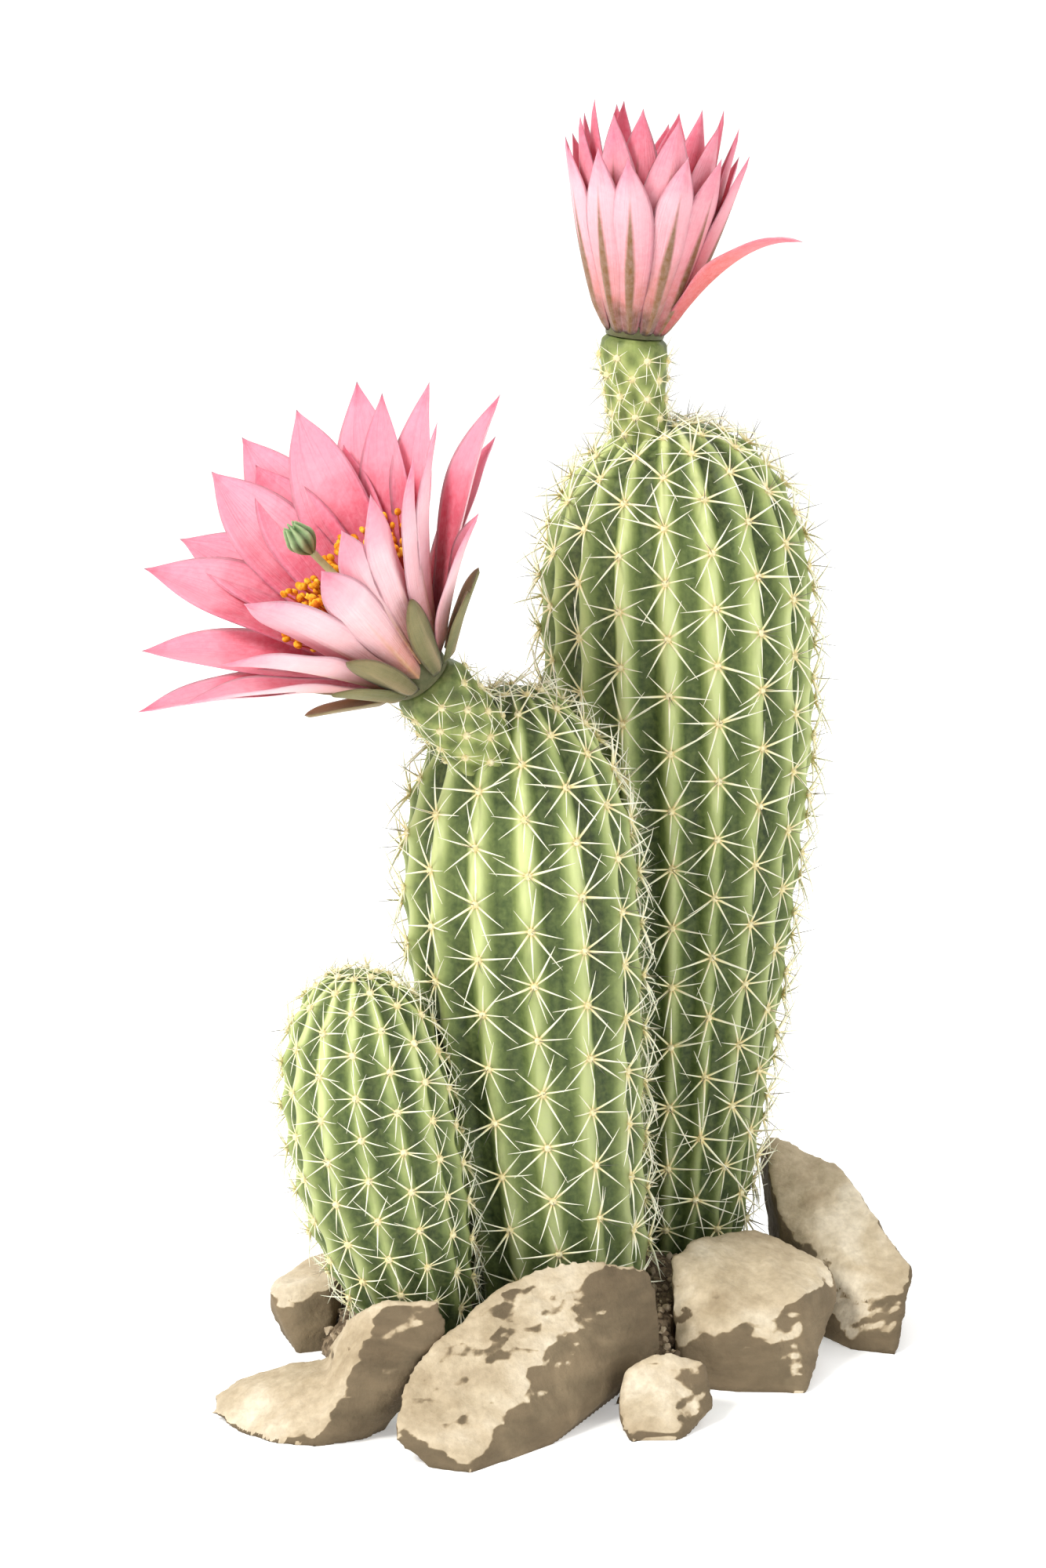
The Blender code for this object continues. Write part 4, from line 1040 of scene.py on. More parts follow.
openInner = {
    "stops": (
        (0.0, (0.16, 0.008, 0.010)), (0.30, (0.36, 0.028, 0.045)), (0.54, (0.58, 0.078, 0.125)),
        (0.72, (0.82, 0.29, 0.37)), (0.90, (0.80, 0.25, 0.34)), (1.0, (0.66, 0.12, 0.20)),
    ),
    "toneShare": 0.6, "toneColour": (0.66, 0.085, 0.15), "veinShare": 0.26, "vein": (0.58, 0.06, 0.12),
    "rimShare": 0.28, "rim": (0.66, 0.08, 0.20), "streakEnd": 0.3, "streakFade": 0.3, "streakWidth": 0.2,
    "streakShare": 0.35, "streak": (0.42, 0.02, 0.05), "drop": (0.95, 0.62, 0.72),
}
openOuter = {
    "stops": (
        (0.0, (0.30, 0.13, 0.05)), (0.14, (0.66, 0.25, 0.18)), (0.34, (0.83, 0.44, 0.45)),
        (0.62, (0.89, 0.58, 0.62)), (0.86, (0.84, 0.36, 0.45)), (1.0, (0.76, 0.20, 0.31)),
    ),
    "toneShare": 0.35, "toneColour": (0.80, 0.22, 0.34), "veinShare": 0.22, "vein": (0.80, 0.25, 0.36),
    "rimShare": 0.42, "rim": (0.76, 0.18, 0.30), "streakEnd": 0.55, "streakFade": 0.4, "streakWidth": 0.3,
    "streakShare": 1.0, "streak": (0.50, 0.24, 0.10), "drop": (0.97, 0.80, 0.84),
}
uprightInner = {
    **openInner,
    "stops": (
        (0.0, (0.22, 0.010, 0.015)), (0.3, (0.44, 0.030, 0.055)), (0.6, (0.58, 0.07, 0.11)),
        (0.85, (0.68, 0.13, 0.19)), (1.0, (0.60, 0.09, 0.15)),
    ),
}
uprightOuter = {
    "stops": (
        (0.0, (0.070, 0.036, 0.012)), (0.09, (0.17, 0.075, 0.028)), (0.22, (0.56, 0.20, 0.17)),
        (0.45, (0.80, 0.33, 0.37)), (0.75, (0.85, 0.43, 0.49)), (1.0, (0.72, 0.18, 0.28)),
    ),
    "toneShare": 0.78, "toneColour": (0.64, 0.075, 0.14), "veinShare": 0.3, "vein": (0.66, 0.16, 0.22),
    "rimShare": 0.5, "rim": (0.66, 0.12, 0.20), "streakEnd": 0.84, "streakFade": 0.45, "streakWidth": 0.30,
    "streakShare": 2.4, "streak": (0.20, 0.095, 0.026), "drop": (0.96, 0.76, 0.82),
}
looseLook = {
    **uprightOuter,
    "stops": (
        (0.0, (0.30, 0.05, 0.03)), (0.2, (0.62, 0.10, 0.09)), (0.6, (0.74, 0.16, 0.15)),
        (1.0, (0.72, 0.18, 0.26)),
    ),
    "streakShare": 0.2, "toneShare": 0.0,
}
sepalLook = {
    "stops": (
        (0.0, (0.050, 0.060, 0.016)), (0.3, (0.12, 0.12, 0.040)), (0.7, (0.22, 0.20, 0.085)),
        (1.0, (0.17, 0.16, 0.065)),
    ),
    "toneShare": 0.8, "toneColour": (0.48, 0.27, 0.16), "veinShare": 0.5, "vein": (0.09, 0.095, 0.03),
    "rimShare": 0.3, "rim": (0.08, 0.085, 0.028), "streakEnd": 0.9, "streakFade": 0.6, "streakWidth": 0.5,
    "streakShare": 0.45, "streak": (0.42, 0.30, 0.18), "drop": (0.40, 0.34, 0.20),
}
uprightShape = {**petalShape, "drift": 1.2, "waver": 0.35}
sepalShape = {
    **petalShape, "rows": 20, "widest": 0.5, "rootShare": 0.5, "tipPower": 2.4, "tipHollow": 0.8,
    "cup": 0.25, "skin": 0.7, "midrib": 0.6, "waver": 0.1, "drift": 0.5,
}

stamenSizes = {
    "open": {"count": 24, "length": (26.0, 34.0), "lean": 29.5, "nearLean": 0.42},
    "upright": {"count": 12, "length": (22.0, 28.0), "lean": 4.0, "nearLean": 1.0},
    "fill": 20, "footFloor": 2.4, "footRise": 0.9, "innerFoot": 2.9, "outerFoot": 4.3, "innerLean": 0.6,
    "anther": 2.0, "antherWidth": 0.78,
}
pistilSizes = {
    "styleRadius": 0.85, "height": {"open": 41.0, "upright": 30.0}, "headRadius": 3.5, "headLength": 8.2,
    "lobes": 8, "styleGrid": (40, 16), "headGrid": (44, 96), "bow": 0.8, "overlap": 1.2,
}
cupSizes = {"floor": 2.0, "height": 7.0, "footRadius": 7.0, "mouthRadius": 8.2, "wall": 1.35, "base": 0.35}


def lathe(profile, steps, tube):
    # a closed turned body from a loop of (radius, height) points, on the tube's top
    angle = roundAngles(steps)
    ring = np.stack([np.cos(angle), np.sin(angle)], axis=1)
    points = []
    for radius, height in profile:
        points += [(*(ring[s] * radius), height) for s in range(steps)]
    faces = []
    count = len(profile)
    for p in range(count):
        q = (p + 1) % count
        for s in range(steps):
            t = (s + 1) % steps
            faces.append((p * steps + s, p * steps + t, q * steps + t, q * steps + s))
    return vec(tube["top"]) + np.array(points) @ axisFrame(tube["axis"]).T, faces


def cupPiece(name, tube, material):
    s = cupSizes
    profile = (
        (0.4, s["base"]), (s["footRadius"], s["base"]), (s["mouthRadius"], s["height"]),
        (s["mouthRadius"] - s["wall"], s["height"]), (s["footRadius"] - s["wall"], s["floor"]),
        (0.4, s["floor"]),
    )
    points, faces = lathe(profile, 40, tube)
    values = {"along": np.full(len(points), 0.02), "across": np.full(len(points), 0.5),
              "tone": np.zeros(len(points))}
    piece = meshPiece(name, points * mm, faces, [material], values)
    piece.data.set_sharp_from_angle(angle=math.radians(40))
    return facesOutward(piece)


def stamenRows(kind, draw, play, tube):
    # the solids' stamens, with more between them, each a little bowed
    rule = stamenSizes[kind]
    turn = axisFrame(tube["axis"])
    top = vec(tube["top"])
    filaments, anthers = [], []
    for number in range(rule["count"]):
        azimuth0 = 360.0 * number / rule["count"] + draw.uniform(-3, 3)
        length0 = draw.uniform(*rule["length"])
        inner = number % 2
        for extra in range(stamenSizes["fill"]):
            first = extra == 0
            azimuth = math.radians(azimuth0 + (0.0 if first else play.uniform(-9, 9)))
            length = length0 * (1.0 if first else play.uniform(0.72, 1.02))
            lean = rule["lean"] * (stamenSizes["innerLean"] if inner else 1.0)
            lean *= 1.0 if first else play.uniform(0.5, 1.12)
            lean *= 1.0 - (1.0 - rule["nearLean"]) * nearness(math.degrees(azimuth))
            lean = math.radians(lean)
            foot = stamenSizes["innerFoot" if inner else "outerFoot"]
            foot *= 1.0 if first else play.uniform(0.8, 1.1)
            away = vec((math.cos(azimuth), math.sin(azimuth), 0.0))
            aim = away * math.sin(lean) + vec((0, 0, math.cos(lean)))
            start = away * foot + vec((0, 0, stamenSizes["footFloor"] + stamenSizes["footRise"]))
            tip = start + aim * length
            filaments.append((top + turn @ start, turn @ aim, turn @ (-away), length))
            tilt = unit(aim + 0.8 * vec((play.uniform(-1, 1), play.uniform(-1, 1), play.uniform(-0.3, 0.6))))
            size = stamenSizes["anther"] * play.uniform(0.8, 1.15)
            anthers.append((top + turn @ tip, turn @ tilt, turn @ away, size))
    return filaments, anthers


def filamentMaterial():
    material, tree, shader, place = newMaterial("filamentRed", {"Specular IOR Level": 0.3})
    along = attribute(tree, "along")
    cloud = useGroup(tree, mottle, {"Vector": place, "Scale": 400.0, "Contrast": 2.0}).outputs["Mask"]
    tint = ramp(tree, along, (
        (0.0, (0.10, 0.14, 0.03)), (0.25, (0.24, 0.018, 0.012)), (0.8, (0.34, 0.020, 0.016)),
        (1.0, (0.50, 0.10, 0.02)),
    ))
    tree.links.new(mixColour(tree, calc(tree, "MULTIPLY", cloud, 0.3), tint, (0.45, 0.05, 0.03)),
                   shader.inputs["Base Color"])
    tree.links.new(calc(tree, "MULTIPLY_ADD", cloud, 0.2, 0.4), shader.inputs["Roughness"])
    return material


def antherMaterial():
    material, tree, shader, place = newMaterial("antherOrange", {"Specular IOR Level": 0.2})
    cloud = useGroup(tree, mottle, {"Vector": place, "Scale": 420.0, "Contrast": 3.0}).outputs["Mask"]
    dust = useGroup(tree, fineGrain, {
        "Vector": place, "Scale": 3000.0, "Coarse Share": 0.3,
    }).outputs["Height"]
    tint = ramp(tree, cloud, (
        (0.15, (0.62, 0.16, 0.008)), (0.5, (0.86, 0.36, 0.012)), (0.9, (0.95, 0.62, 0.06)),
    ))
    tree.links.new(tint, shader.inputs["Base Color"])
    tree.links.new(calc(tree, "MULTIPLY_ADD", dust, 0.3, 0.55), shader.inputs["Roughness"])
    bumpFrom(tree, shader, dust, 0.0003, 0.9)
    return material


def pistilMaterial():
    material, tree, shader, place = newMaterial("stigmaGreen", {"Specular IOR Level": 0.35})
    groove = attribute(tree, "groove")
    head = attribute(tree, "head")
    cloud = useGroup(tree, mottle, {"Vector": place, "Scale": 500.0, "Contrast": 2.6}).outputs["Mask"]
    # the grooves between the stigma's lobes are painted dark as shade, the lobes' crests paler
    lobes = ramp(tree, groove, (
        (0.0, (0.035, 0.075, 0.022)), (0.55, (0.13, 0.24, 0.085)), (1.0, (0.30, 0.42, 0.20)),
    ))
    style = mixColour(tree, cloud, (0.42, 0.50, 0.22), (0.58, 0.64, 0.34))
    tint = mixColour(tree, head, style, lobes)
    tree.links.new(mixColour(tree, calc(tree, "MULTIPLY", cloud, 0.2), tint, (0.50, 0.60, 0.36)),
                   shader.inputs["Base Color"])
    tree.links.new(calc(tree, "MULTIPLY_ADD", cloud, 0.2, 0.4), shader.inputs["Roughness"])
    bumpFrom(tree, shader, cloud, 0.0002, 0.7)
    return material


def makePistil(name, tube, height, material):
    # a thin style and a head of lobes that close over each other
    s = pistilSizes
    points, faces, groove, head = [], [], [], []
    turn = axisFrame(tube["axis"])
    rows, columns = s["styleGrid"]
    level = np.linspace(stamenSizes["footFloor"], height, rows)
    radius = s["styleRadius"] + 0.6 * np.exp(-(level - level[0]) / 1.2)
    bow = s["bow"] * np.sin(math.pi * (level - level[0]) / (height - level[0]))
    angle = roundAngles(columns)
    grid = np.stack([
        radius[:, None] * np.cos(angle) + bow[:, None], radius[:, None] * np.sin(angle),
        np.repeat(level[:, None], columns, axis=1),
    ], axis=-1)
    local = np.vstack([[0, 0, level[0]], grid.reshape(-1, 3), [0, 0, level[-1]]])
    points += list(local)
    faces += tubeFaces(rows, columns)
    groove += [0.5] * len(local)
    head += [0.0] * len(local)
    base = height - s["overlap"]
    rows, columns = s["headGrid"]
    share = (np.arange(rows) + 0.5) / rows  # from the top down
    body = np.sin(math.pi * np.minimum(1.0, 0.12 + 0.88 * share) ** 0.9)
    wave = 0.5 + 0.5 * np.cos(s["lobes"] * roundAngles(columns))[None, :]
    rib = np.abs(wave) ** 0.7
    reach = s["headRadius"] * body[:, None] * (0.80 + 0.20 * rib)
    tipLift = 1.3 * rib * np.clip(1.0 - share[:, None] * 5.0, 0.0, 1.0)
    twist = roundAngles(columns)[None, :] + 0.35 * (1 - share[:, None])
    grid = np.stack([
        reach * np.cos(twist), reach * np.sin(twist),
        base + s["headLength"] * (1 - share[:, None]) + tipLift,
    ], axis=-1)
    local = np.vstack([[0, 0, base + s["headLength"] - 0.6], grid.reshape(-1, 3), [0, 0, base]])
    offset = len(points)
    points += list(local)
    faces += [tuple(i + offset for i in f) for f in tubeFaces(rows, columns)]
    # groove is 1 on a lobe's crest and 0 in the painted shade between the lobes
    groove += [0.4] + list(np.broadcast_to(rib, (rows, columns)).ravel()) + [0.0]
    head += [1.0] * len(local)
    spots = (vec(tube["top"]) + np.array(points) @ turn.T) * mm
    piece = meshPiece(name, spots, faces, [material], {"groove": groove, "head": head})
    return facesOutward(piece)


def makeBloom(kind, growBlades, innerMaterial, outerMaterial, materials):
    tube = tubeSizes[f"tube_{kind}"]
    draw = random.Random(f"{kind} {seed}")
    play = random.Random(f"{kind} play {seed}")
    blades = growBlades(draw, play)
    pieces = []
    petals = bladesPiece(f"bloom_petals_{kind}", blades, tube, [innerMaterial, outerMaterial])
    pieces.append(settle(petals, "petal", f"petals_{kind}"))
    cup = cupPiece(f"bloom_cup_{kind}", tube, materials["sepal"])
    pieces.append(settle(cup, "petal"))
    if kind == "upright":
        p = loosePetal
        loose = blade(p["azimuth"], p["root"], p["length"], p["width"], p["lean"], p["curl"],
                      {**petalShape, "drift": 0.4}, play, 0.0)
        piece = bladesPiece("bloom_petal_loose", [loose], tube, [materials["loose"], materials["loose"]])
        pieces.append(settle(piece, "petal"))
    if kind == "open":
        made = []
        for azimuth, lean, length in sepals:
            leans = (lean, lean + sepalSize["spread"])
            made.append(blade(
                azimuth, sepalSize["root"], length, sepalSize["width"], leans, 0.0, sepalShape, play,
                play.uniform(-0.3, 0.45),
            ))
        piece = bladesPiece("bloom_sepals_open", made, tube, [materials["sepal"], materials["sepal"]])
        pieces.append(settle(piece, "sepal", "sepals_open"))
    filaments, anthers = stamenRows(kind, draw, play, tube)
    points, values = cloudOf(filaments)
    threads = grown(f"bloom_filaments_{kind}", points, values, thorns, {
        "Girth": 0.009, "Bend": 0.05, "Blunt": 0.75, "Sides": 5, "Steps": 6,
        "Material": materials["filament"],
    })
    points, values = cloudOf(anthers)
    heads = grown(f"bloom_anthers_{kind}", points, values, beads, {
        "Width": stamenSizes["antherWidth"], "Segments": 8, "Rings": 6, "Material": materials["anther"],
    })
    pieces.append(settle(heads, "anther", f"stamens_{kind}"))
    pieces.append(settle(threads, "anther"))
    pistil = makePistil(f"bloom_pistil_{kind}", tube, pistilSizes["height"][kind], materials["pistil"])
    pieces.append(settle(pistil, "stigma", f"pistil_{kind}"))
    return pieces


# Stones and grit

stoneFinish = {"voxel": 0.95, "rounding": 2, "relief": 0.75, "fineRelief": 0.2, "ground": 0.6}


def stoneMaterial():
    material, tree, shader, place = newMaterial("sandstone", {"Specular IOR Level": 0.25})
    wide = useGroup(tree, mottle, {"Vector": place, "Scale": 42.0, "Contrast": 3.0}).outputs["Mask"]
    layers = useGroup(tree, mottle, {
        "Vector": place, "Scale": 90.0, "Stretch": (0.6, 0.6, 2.4), "Contrast": 2.6,
    }).outputs["Mask"]
    speck = useGroup(tree, mottle, {"Vector": place, "Scale": 520.0, "Contrast": 3.2}).outputs["Mask"]
    normal = put(tree, "ShaderNodeNewGeometry").outputs["Normal"]
    parts = put(tree, "ShaderNodeSeparateXYZ", {"Vector": normal})
    # how much each face turns up and to the left, where the lamp stands; it sets the painted light and shade
    upLeftFacing = calc(tree, "MULTIPLY_ADD", parts.outputs["X"], -0.30, parts.outputs["Z"])
    # painted light and shade: faces turned up and to the left are painted pale as if lit, and the other sides
    # painted dark as shade, parted along an uneven line
    paintedLight = calc(tree, "MULTIPLY_ADD", calc(tree, "SUBTRACT", wide, 0.5), 0.20, upLeftFacing)
    top = put(tree, "ShaderNodeMapRange", {
        "Value": paintedLight, "From Min": 0.50, "From Max": 0.60, "To Min": 0.0, "To Max": 1.0,
    }, interpolation_type="SMOOTHSTEP").outputs[0]
    lit = calc(tree, "MULTIPLY_ADD", top, 0.56, calc(tree, "MULTIPLY", wide, 0.44), clamp=True)
    body = ramp(tree, lit, (
        (0.0, (0.065, 0.048, 0.026)), (0.30, (0.125, 0.096, 0.056)), (0.46, (0.22, 0.170, 0.102)),
        (0.64, (0.42, 0.335, 0.215)), (0.84, (0.62, 0.52, 0.365)), (1.0, (0.80, 0.71, 0.55)),
    ))
    stained = mixColour(tree, calc(tree, "MULTIPLY", layers, 0.22), body, (0.42, 0.30, 0.18))
    flecked = mixColour(tree, calc(tree, "MULTIPLY", speck, 0.28), stained, (0.20, 0.15, 0.095))
    tree.links.new(flecked, shader.inputs["Base Color"])
    tree.links.new(calc(tree, "MULTIPLY_ADD", speck, 0.15, 0.75), shader.inputs["Roughness"])
    grain = useGroup(tree, fineGrain, {"Vector": place, "Scale": 800.0, "Coarse Share": 0.55})
    bumpFrom(tree, shader, grain.outputs["Height"], 0.0009, 0.8)
    return material


def gritMaterial(name, stops, scale):
    material, tree, shader, place = newMaterial(name, {"Specular IOR Level": 0.25})
    cells = put(tree, "ShaderNodeTexVoronoi", {"Vector": place, "Scale": scale})
    tone = put(tree, "ShaderNodeSeparateXYZ", {"Vector": cells.outputs["Color"]}).outputs["X"]
    speck = useGroup(tree, mottle, {"Vector": place, "Scale": 900.0, "Contrast": 3.0}).outputs["Mask"]
    body = ramp(tree, tone, stops)
    tree.links.new(mixColour(tree, calc(tree, "MULTIPLY", speck, 0.3), body, (0.12, 0.085, 0.05)),
                   shader.inputs["Base Color"])
    tree.links.new(calc(tree, "MULTIPLY_ADD", speck, 0.15, 0.8), shader.inputs["Roughness"])
    grain = useGroup(tree, fineGrain, {"Vector": place, "Scale": 1200.0, "Coarse Share": 0.5})
    bumpFrom(tree, shader, grain.outputs["Height"], 0.0006, 0.9)
    return material


def mergedCopy(node, name):
    mesh = node.data.copy()
    mesh.materials.clear()
    bm = bmesh.new()
    bm.from_mesh(mesh)
    bmesh.ops.remove_doubles(bm, verts=bm.verts, dist=2e-6)
    bm.to_mesh(mesh)
    bm.free()
    piece = bpy.data.objects.new(name, mesh)
    bpy.context.scene.collection.objects.link(piece)
    return piece


def remeshed(piece, voxel, rounding):
    modifier = piece.modifiers.new("fine", "REMESH")
    modifier.mode = "VOXEL"
    modifier.voxel_size = voxel * mm
    graph = bpy.context.evaluated_depsgraph_get()
    mesh = bpy.data.meshes.new_from_object(piece.evaluated_get(graph))
    piece.modifiers.clear()
    piece.data = mesh
    bm = bmesh.new()
    bm.from_mesh(mesh)
    for _ in range(rounding):
        bmesh.ops.smooth_vert(
            bm, verts=bm.verts, factor=0.5, use_axis_x=True, use_axis_y=True, use_axis_z=True,
        )
    bm.normal_update()
    return bm


def makeStone(name, material):
    piece = mergedCopy(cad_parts[name], name.replace("stone", "rock"))
    low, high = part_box(name)
    bm = remeshed(piece, stoneFinish["voxel"], stoneFinish["rounding"])
    for v in bm.verts:
        spot = v.co / mm
        ledge = noise.noise(spot * 0.085) * 0.9 + noise.noise(spot * 0.21) * 0.55
        ridge = 1.0 - abs(noise.noise(spot * 0.14 + Vector((7, 3, 1)))) * 2.2
        fine = noise.noise(spot * 0.62) + 0.5 * noise.noise(spot * 1.3)
        amount = stoneFinish["relief"] * (ledge + 0.35 * ridge) + stoneFinish["fineRelief"] * fine
        lifted = min(1.0, max(0.0, (spot.z - 0.5) / 3.0))
        v.co += v.normal * (amount * lifted * mm)
    for v in bm.verts:
        if v.co.z < stoneFinish["ground"] * mm:
            v.co.z = 0.0
    bmesh.ops.recalc_face_normals(bm, faces=bm.faces)
    bm.to_mesh(piece.data)
    bm.free()
    piece.data.materials.clear()
    piece.data.materials.append(material)
    piece.data.shade_smooth()
    return settle(piece, "sandstone", name)


bedFinish = {"voxel": 1.3, "rounding": 3, "relief": 0.5, "grains": 2300, "grain": (0.9, 2.6)}


def makeBed(material, grainMaterials, trees):
    piece = mergedCopy(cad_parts["grit_bed"], "bed_soil")
    bm = remeshed(piece, bedFinish["voxel"], bedFinish["rounding"])
    for v in bm.verts:
        spot = v.co / mm
        lifted = min(1.0, max(0.0, (spot.z - 0.5) / 2.0))
        v.co += v.normal * (bedFinish["relief"] * noise.noise(spot * 0.5) * lifted * mm)
        if v.co.z < 0.7 * mm:
            v.co.z = 0.0
    bmesh.ops.recalc_face_normals(bm, faces=bm.faces)
    draw = random.Random(f"grit {seed}")
    tops = [f for f in bm.faces if f.normal.z > 0.25 and f.calc_center_median().z > 1.5 * mm]
    areas = np.cumsum([f.calc_area() for f in tops])
    rows = []
    for _ in range(bedFinish["grains"]):
        face = tops[int(np.searchsorted(areas, draw.uniform(0, areas[-1])))]
        aside = vec((draw.uniform(-0.6, 0.6), draw.uniform(-0.6, 0.6), 0))
        spot = np.array(face.calc_center_median()) / mm + aside
        size = bedFinish["grain"][0] + (bedFinish["grain"][1] - bedFinish["grain"][0]) * draw.random() ** 2.2
        aim = unit(vec((draw.uniform(-1, 1), draw.uniform(-1, 1), draw.uniform(0.1, 1))))
        over = unit(vec((draw.uniform(-1, 1), draw.uniform(-1, 1), draw.uniform(-1, 1))))
        if any(tree.find_nearest(Vector(spot) * mm, 0.45 * size * mm)[0] is not None for tree in trees):
            continue
        rows.append((spot + vec((0, 0, 0.12 * size)), aim, over, size))
    bm.to_mesh(piece.data)
    bm.free()
    piece.data.materials.clear()
    piece.data.materials.append(material)
    piece.data.shade_smooth()
    settle(piece, "grit", "grit_bed")
    made = [piece]
    share = len(rows) // len(grainMaterials) + 1
    for number, grainMaterial in enumerate(grainMaterials):
        points, values = cloudOf(rows[number * share:(number + 1) * share])
        grains = grown(f"bed_grains_{number}", points, values, pebbles, {
            "Width": 1.3, "Rough": 0.16, "Material": grainMaterial,
        })
        made.append(settle(grains, "grit"))
    print("grains", len(rows))
    return made


def pebbleTree():
    # a knobbly grain on every point
    tree, into, out = newGroup(
        "pebbles",
        [("Geometry", "NodeSocketGeometry", None), ("Width", "NodeSocketFloat", 1.2),
         ("Rough", "NodeSocketFloat", 0.15), ("Material", "NodeSocketMaterial", None)],
        [("Geometry", "NodeSocketGeometry")], "GeometryNodeTree",
    )
    ball = put(tree, "GeometryNodeMeshIcoSphere", {"Radius": 0.42, "Subdivisions": 2})
    width = put(tree, "ShaderNodeCombineXYZ", {"X": into.outputs["Width"], "Y": 1.0, "Z": 0.8})
    flat = put(tree, "GeometryNodeTransform")
    tree.links.new(ball.outputs["Mesh"], flat.inputs["Geometry"])
    tree.links.new(width.outputs[0], flat.inputs["Scale"])
    copies = placeAlong(tree, into.outputs[0], flat.outputs[0], fieldAttribute(tree, "size", "FLOAT"))
    real = put(tree, "GeometryNodeRealizeInstances")
    tree.links.new(copies, real.inputs[0])
    wobble = put(tree, "ShaderNodeTexNoise", {"Scale": 700.0, "Detail": 1.0})
    away = put(tree, "ShaderNodeVectorMath", operation="SUBTRACT")
    tree.links.new(wobble.outputs["Color"], away.inputs[0])
    away.inputs[1].default_value = (0.5, 0.5, 0.5)
    amount = put(tree, "ShaderNodeVectorMath", operation="SCALE")
    tree.links.new(away.outputs[0], amount.inputs[0])
    tree.links.new(calc(tree, "MULTIPLY", into.outputs["Rough"], 0.012), amount.inputs["Scale"])
    moved = put(tree, "GeometryNodeSetPosition")
    tree.links.new(real.outputs[0], moved.inputs["Geometry"])
    tree.links.new(amount.outputs[0], moved.inputs["Offset"])
    finishTree(tree, moved.outputs[0], into.outputs["Material"], out)
    return tree


pebbles = pebbleTree()


# Put the plant together

materials = {
    "skin": skinMaterial("cactusSkin", stemLook), "tube": skinMaterial("tubeSkin", tubeLook),
    "spine": spineMaterial(), "bristle": bristleMaterial(), "felt": feltMaterial(),
    "openInner": petalMaterial("petalOpenInner", openInner),
    "openOuter": petalMaterial("petalOpenOuter", openOuter),
    "uprightInner": petalMaterial("petalUprightInner", uprightInner),
    "uprightOuter": petalMaterial("petalUprightOuter", uprightOuter),
    "loose": petalMaterial("petalLoose", looseLook), "sepal": petalMaterial("sepalOlive", sepalLook),
    "filament": filamentMaterial(), "anther": antherMaterial(), "pistil": pistilMaterial(),
    "stone": stoneMaterial(),
    "soil": gritMaterial("soilBrown", (
        (0.0, (0.075, 0.052, 0.030)), (0.5, (0.16, 0.115, 0.07)), (1.0, (0.28, 0.21, 0.135))), 900.0),
    "grainTan": gritMaterial("grainTan", (
        (0.0, (0.30, 0.22, 0.135)), (0.5, (0.46, 0.36, 0.24)), (1.0, (0.66, 0.55, 0.40))), 450.0),
    "grainBrown": gritMaterial("grainBrown", (
        (0.0, (0.10, 0.07, 0.042)), (0.5, (0.19, 0.135, 0.085)), (1.0, (0.34, 0.26, 0.17))), 450.0),
}
print("materials ready")

stones = [makeStone(name, materials["stone"]) for name in sorted(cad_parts) if name.startswith("stone")]
print("stones", len(stones))

stems, profiles = {}, {}
for name, stem in stemSizes.items():
    stems[name], profiles[name] = makeStem(name.replace("stem", "trunk"), stem, materials["skin"])
    settle(stems[name], "cactus_skin", name)
tubes = {}
for name, tube in tubeSizes.items():
    tubes[name] = makeTube(name.replace("tube", "flowertube"), tube, materials["tube"])
    settle(tubes[name], "tube_skin", name)
print("stems and tubes ready")

blooms = makeBloom("open", openBlades, materials["openInner"], materials["openOuter"], materials)
blooms += makeBloom("upright", uprightBlades, materials["uprightInner"], materials["uprightOuter"], materials)
print("blooms ready")

stoneTrees = [treeOf(piece) for piece in stones]
bed = makeBed(materials["soil"], [materials["grainTan"], materials["grainBrown"]],
              stoneTrees + [treeOf(piece) for piece in stems.values()])
growth = {**stems, **tubes}
growthTrees = {name: treeOf(piece) for name, piece in growth.items()}
leafy = [piece for piece in blooms if "petals" in piece.name or "sepals" in piece.name]
still = stoneTrees + [treeOf(bed[0])] + [treeOf(piece) for piece in leafy]
draw = random.Random(seed)
for name in growth:
    others = still + [tree for other, tree in growthTrees.items() if other != name]
    if name in stemSizes:
        hidden = [growthTrees[t] for t in growthTrees if t != name]
        collect = stemStars(name, stemSizes[name], profiles[name], draw, others, hidden)
        makeSpines(name.replace("stem_", ""), collect, "cactus_skin", materials)
    else:
        hidden = [growthTrees[tubeSizes[name]["stem"]]]
        collect = tubeStars(name, tubeSizes[name], draw, others, hidden)
        makeSpines(name, collect, "tube_skin", materials)
print("spines ready")


# Floor, light and camera

stageSizes = {"flat": 1.6, "wall": 3.2, "height": 1.4, "rings": 40, "steps": 96}
cameraSizes = {"elevation": 12.0, "distance": 0.9, "aimHeight": 0.1385, "lens": 57.6, "sensor": 24.0}
worldLight = 0.72


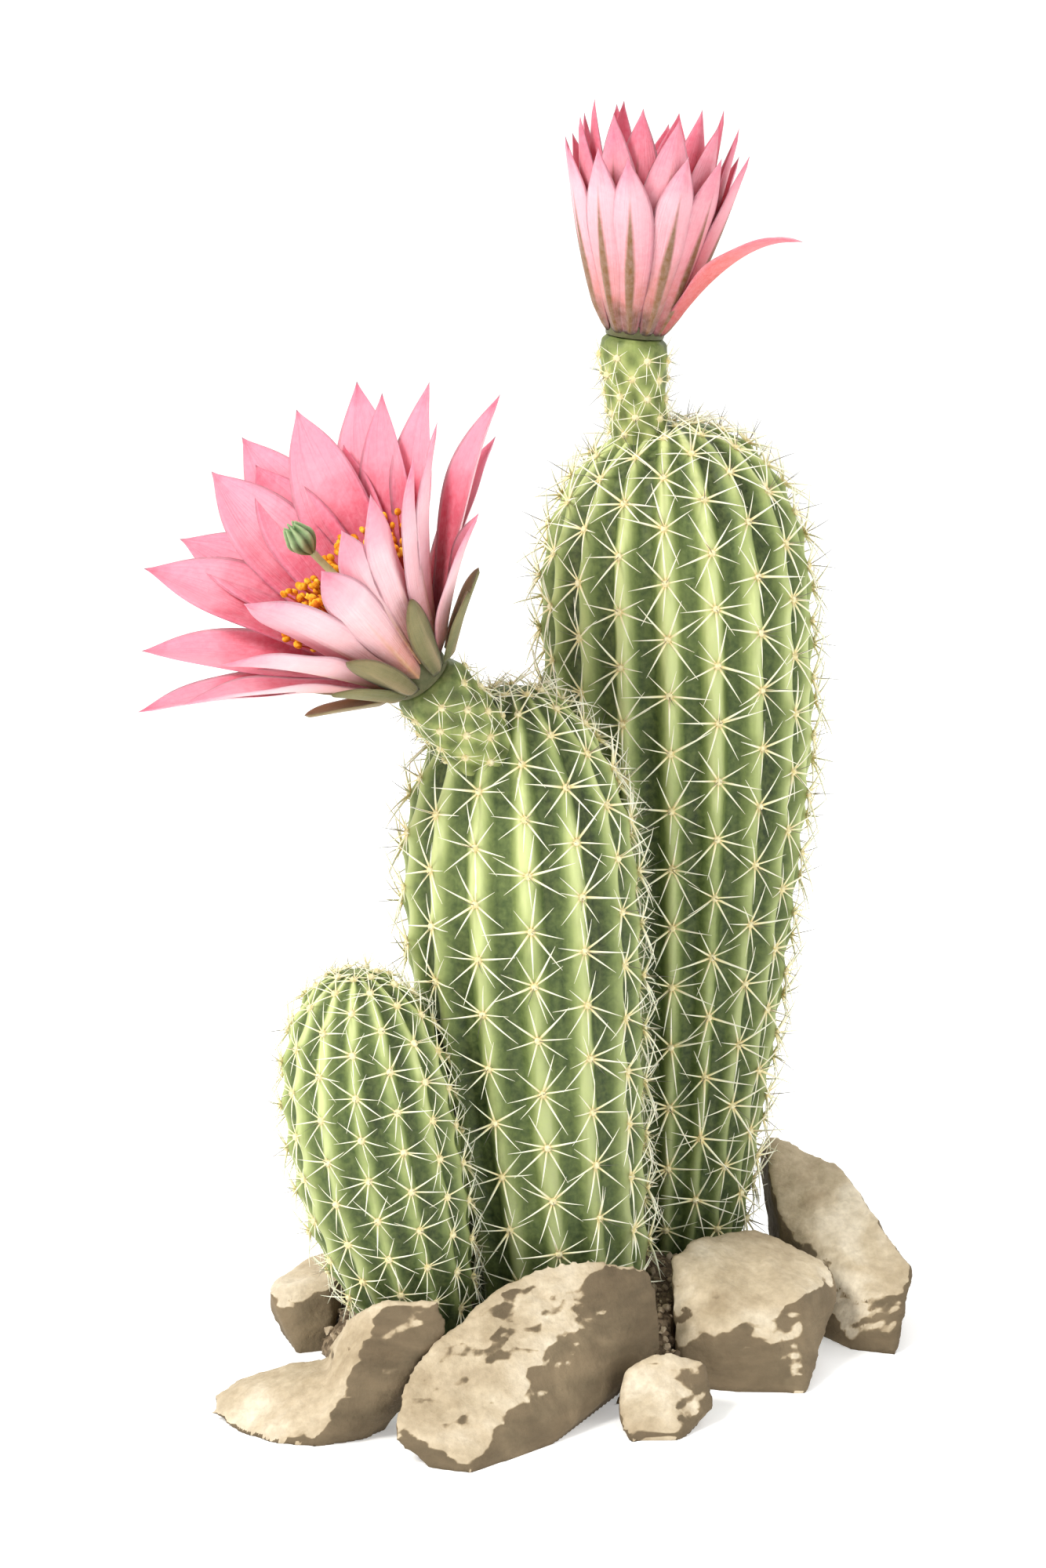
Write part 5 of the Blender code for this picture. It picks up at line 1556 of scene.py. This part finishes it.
def makeFloor():
    # a pale round sweep: flat under the plant, rising smoothly far off
    rings, steps = stageSizes["rings"], stageSizes["steps"]
    points, faces = [(0, 0, 0)], []
    for r in range(1, rings + 1):
        reach = stageSizes["wall"] * r / rings
        over = max(0.0, reach - stageSizes["flat"]) / (stageSizes["wall"] - stageSizes["flat"])
        level = stageSizes["height"] * over ** 2.4
        for s in range(steps):
            a = turnAround * s / steps
            points.append((reach * math.cos(a), reach * math.sin(a), level))
    for s in range(steps):
        faces.append((0, 1 + s, 1 + (s + 1) % steps))
    for r in range(rings - 1):
        a, b = 1 + r * steps, 1 + (r + 1) * steps
        for s in range(steps):
            t = (s + 1) % steps
            faces.append((a + s, b + s, b + t, a + t))
    material = bpy.data.materials.new("paperFloor")
    material.use_nodes = True
    shader = material.node_tree.nodes["Principled BSDF"]
    shader.inputs["Base Color"].default_value = (0.93, 0.93, 0.92, 1)
    shader.inputs["Roughness"].default_value = 0.9
    shader.inputs["Specular IOR Level"].default_value = 0.1
    shader.inputs["Emission Color"].default_value = (1, 1, 1, 1)
    shader.inputs["Emission Strength"].default_value = 0.3
    floor = meshPiece("floor", points, faces, [material])
    return floor


def makeLight(name, place, target, size, power, colour=(1, 1, 1)):
    data = bpy.data.lights.new(name, "AREA")
    data.shape = "DISK"
    data.size = size
    data.energy = power
    data.color = colour
    light = bpy.data.objects.new(name, data)
    light.location = place
    light.rotation_euler = (Vector(target) - Vector(place)).to_track_quat("-Z", "Y").to_euler()
    bpy.context.scene.collection.objects.link(light)
    return light


def makeCamera():
    # the height above the ground at which the photo shows the plant
    elevation = math.radians(cameraSizes["elevation"])
    distance, aimHeight = cameraSizes["distance"], cameraSizes["aimHeight"]
    data = bpy.data.cameras.new("camera")
    data.sensor_fit = "VERTICAL"
    data.sensor_height = cameraSizes["sensor"]
    data.lens = cameraSizes["lens"]
    camera = bpy.data.objects.new("camera", data)
    camera.location = (0, -distance * math.cos(elevation), aimHeight + distance * math.sin(elevation))
    aim = Vector((0, 0, aimHeight)) - camera.location
    camera.rotation_euler = aim.to_track_quat("-Z", "Y").to_euler()
    bpy.context.scene.collection.objects.link(camera)
    bpy.context.scene.camera = camera
    return camera


makeFloor()
makeLight("keyLight", (-0.80, -0.70, 1.10), (0, 0, 0.12), 0.45, 17.0, (1.0, 0.98, 0.95))
makeLight("fillLight", (0.95, -0.7, 0.5), (0, 0, 0.12), 0.9, 2.2, (0.96, 0.98, 1.0))
makeLight("backLight", (0.3, 1.0, 0.9), (0, 0, 0.14), 0.7, 5.0)
world = bpy.data.worlds.new("studio")
world.use_nodes = True
world.node_tree.nodes["Background"].inputs["Color"].default_value = (1.0, 1.0, 1.0, 1)
world.node_tree.nodes["Background"].inputs["Strength"].default_value = worldLight
bpy.context.scene.world = world
makeCamera()
bpy.context.scene.view_settings.view_transform = "Standard"
print("stage ready")
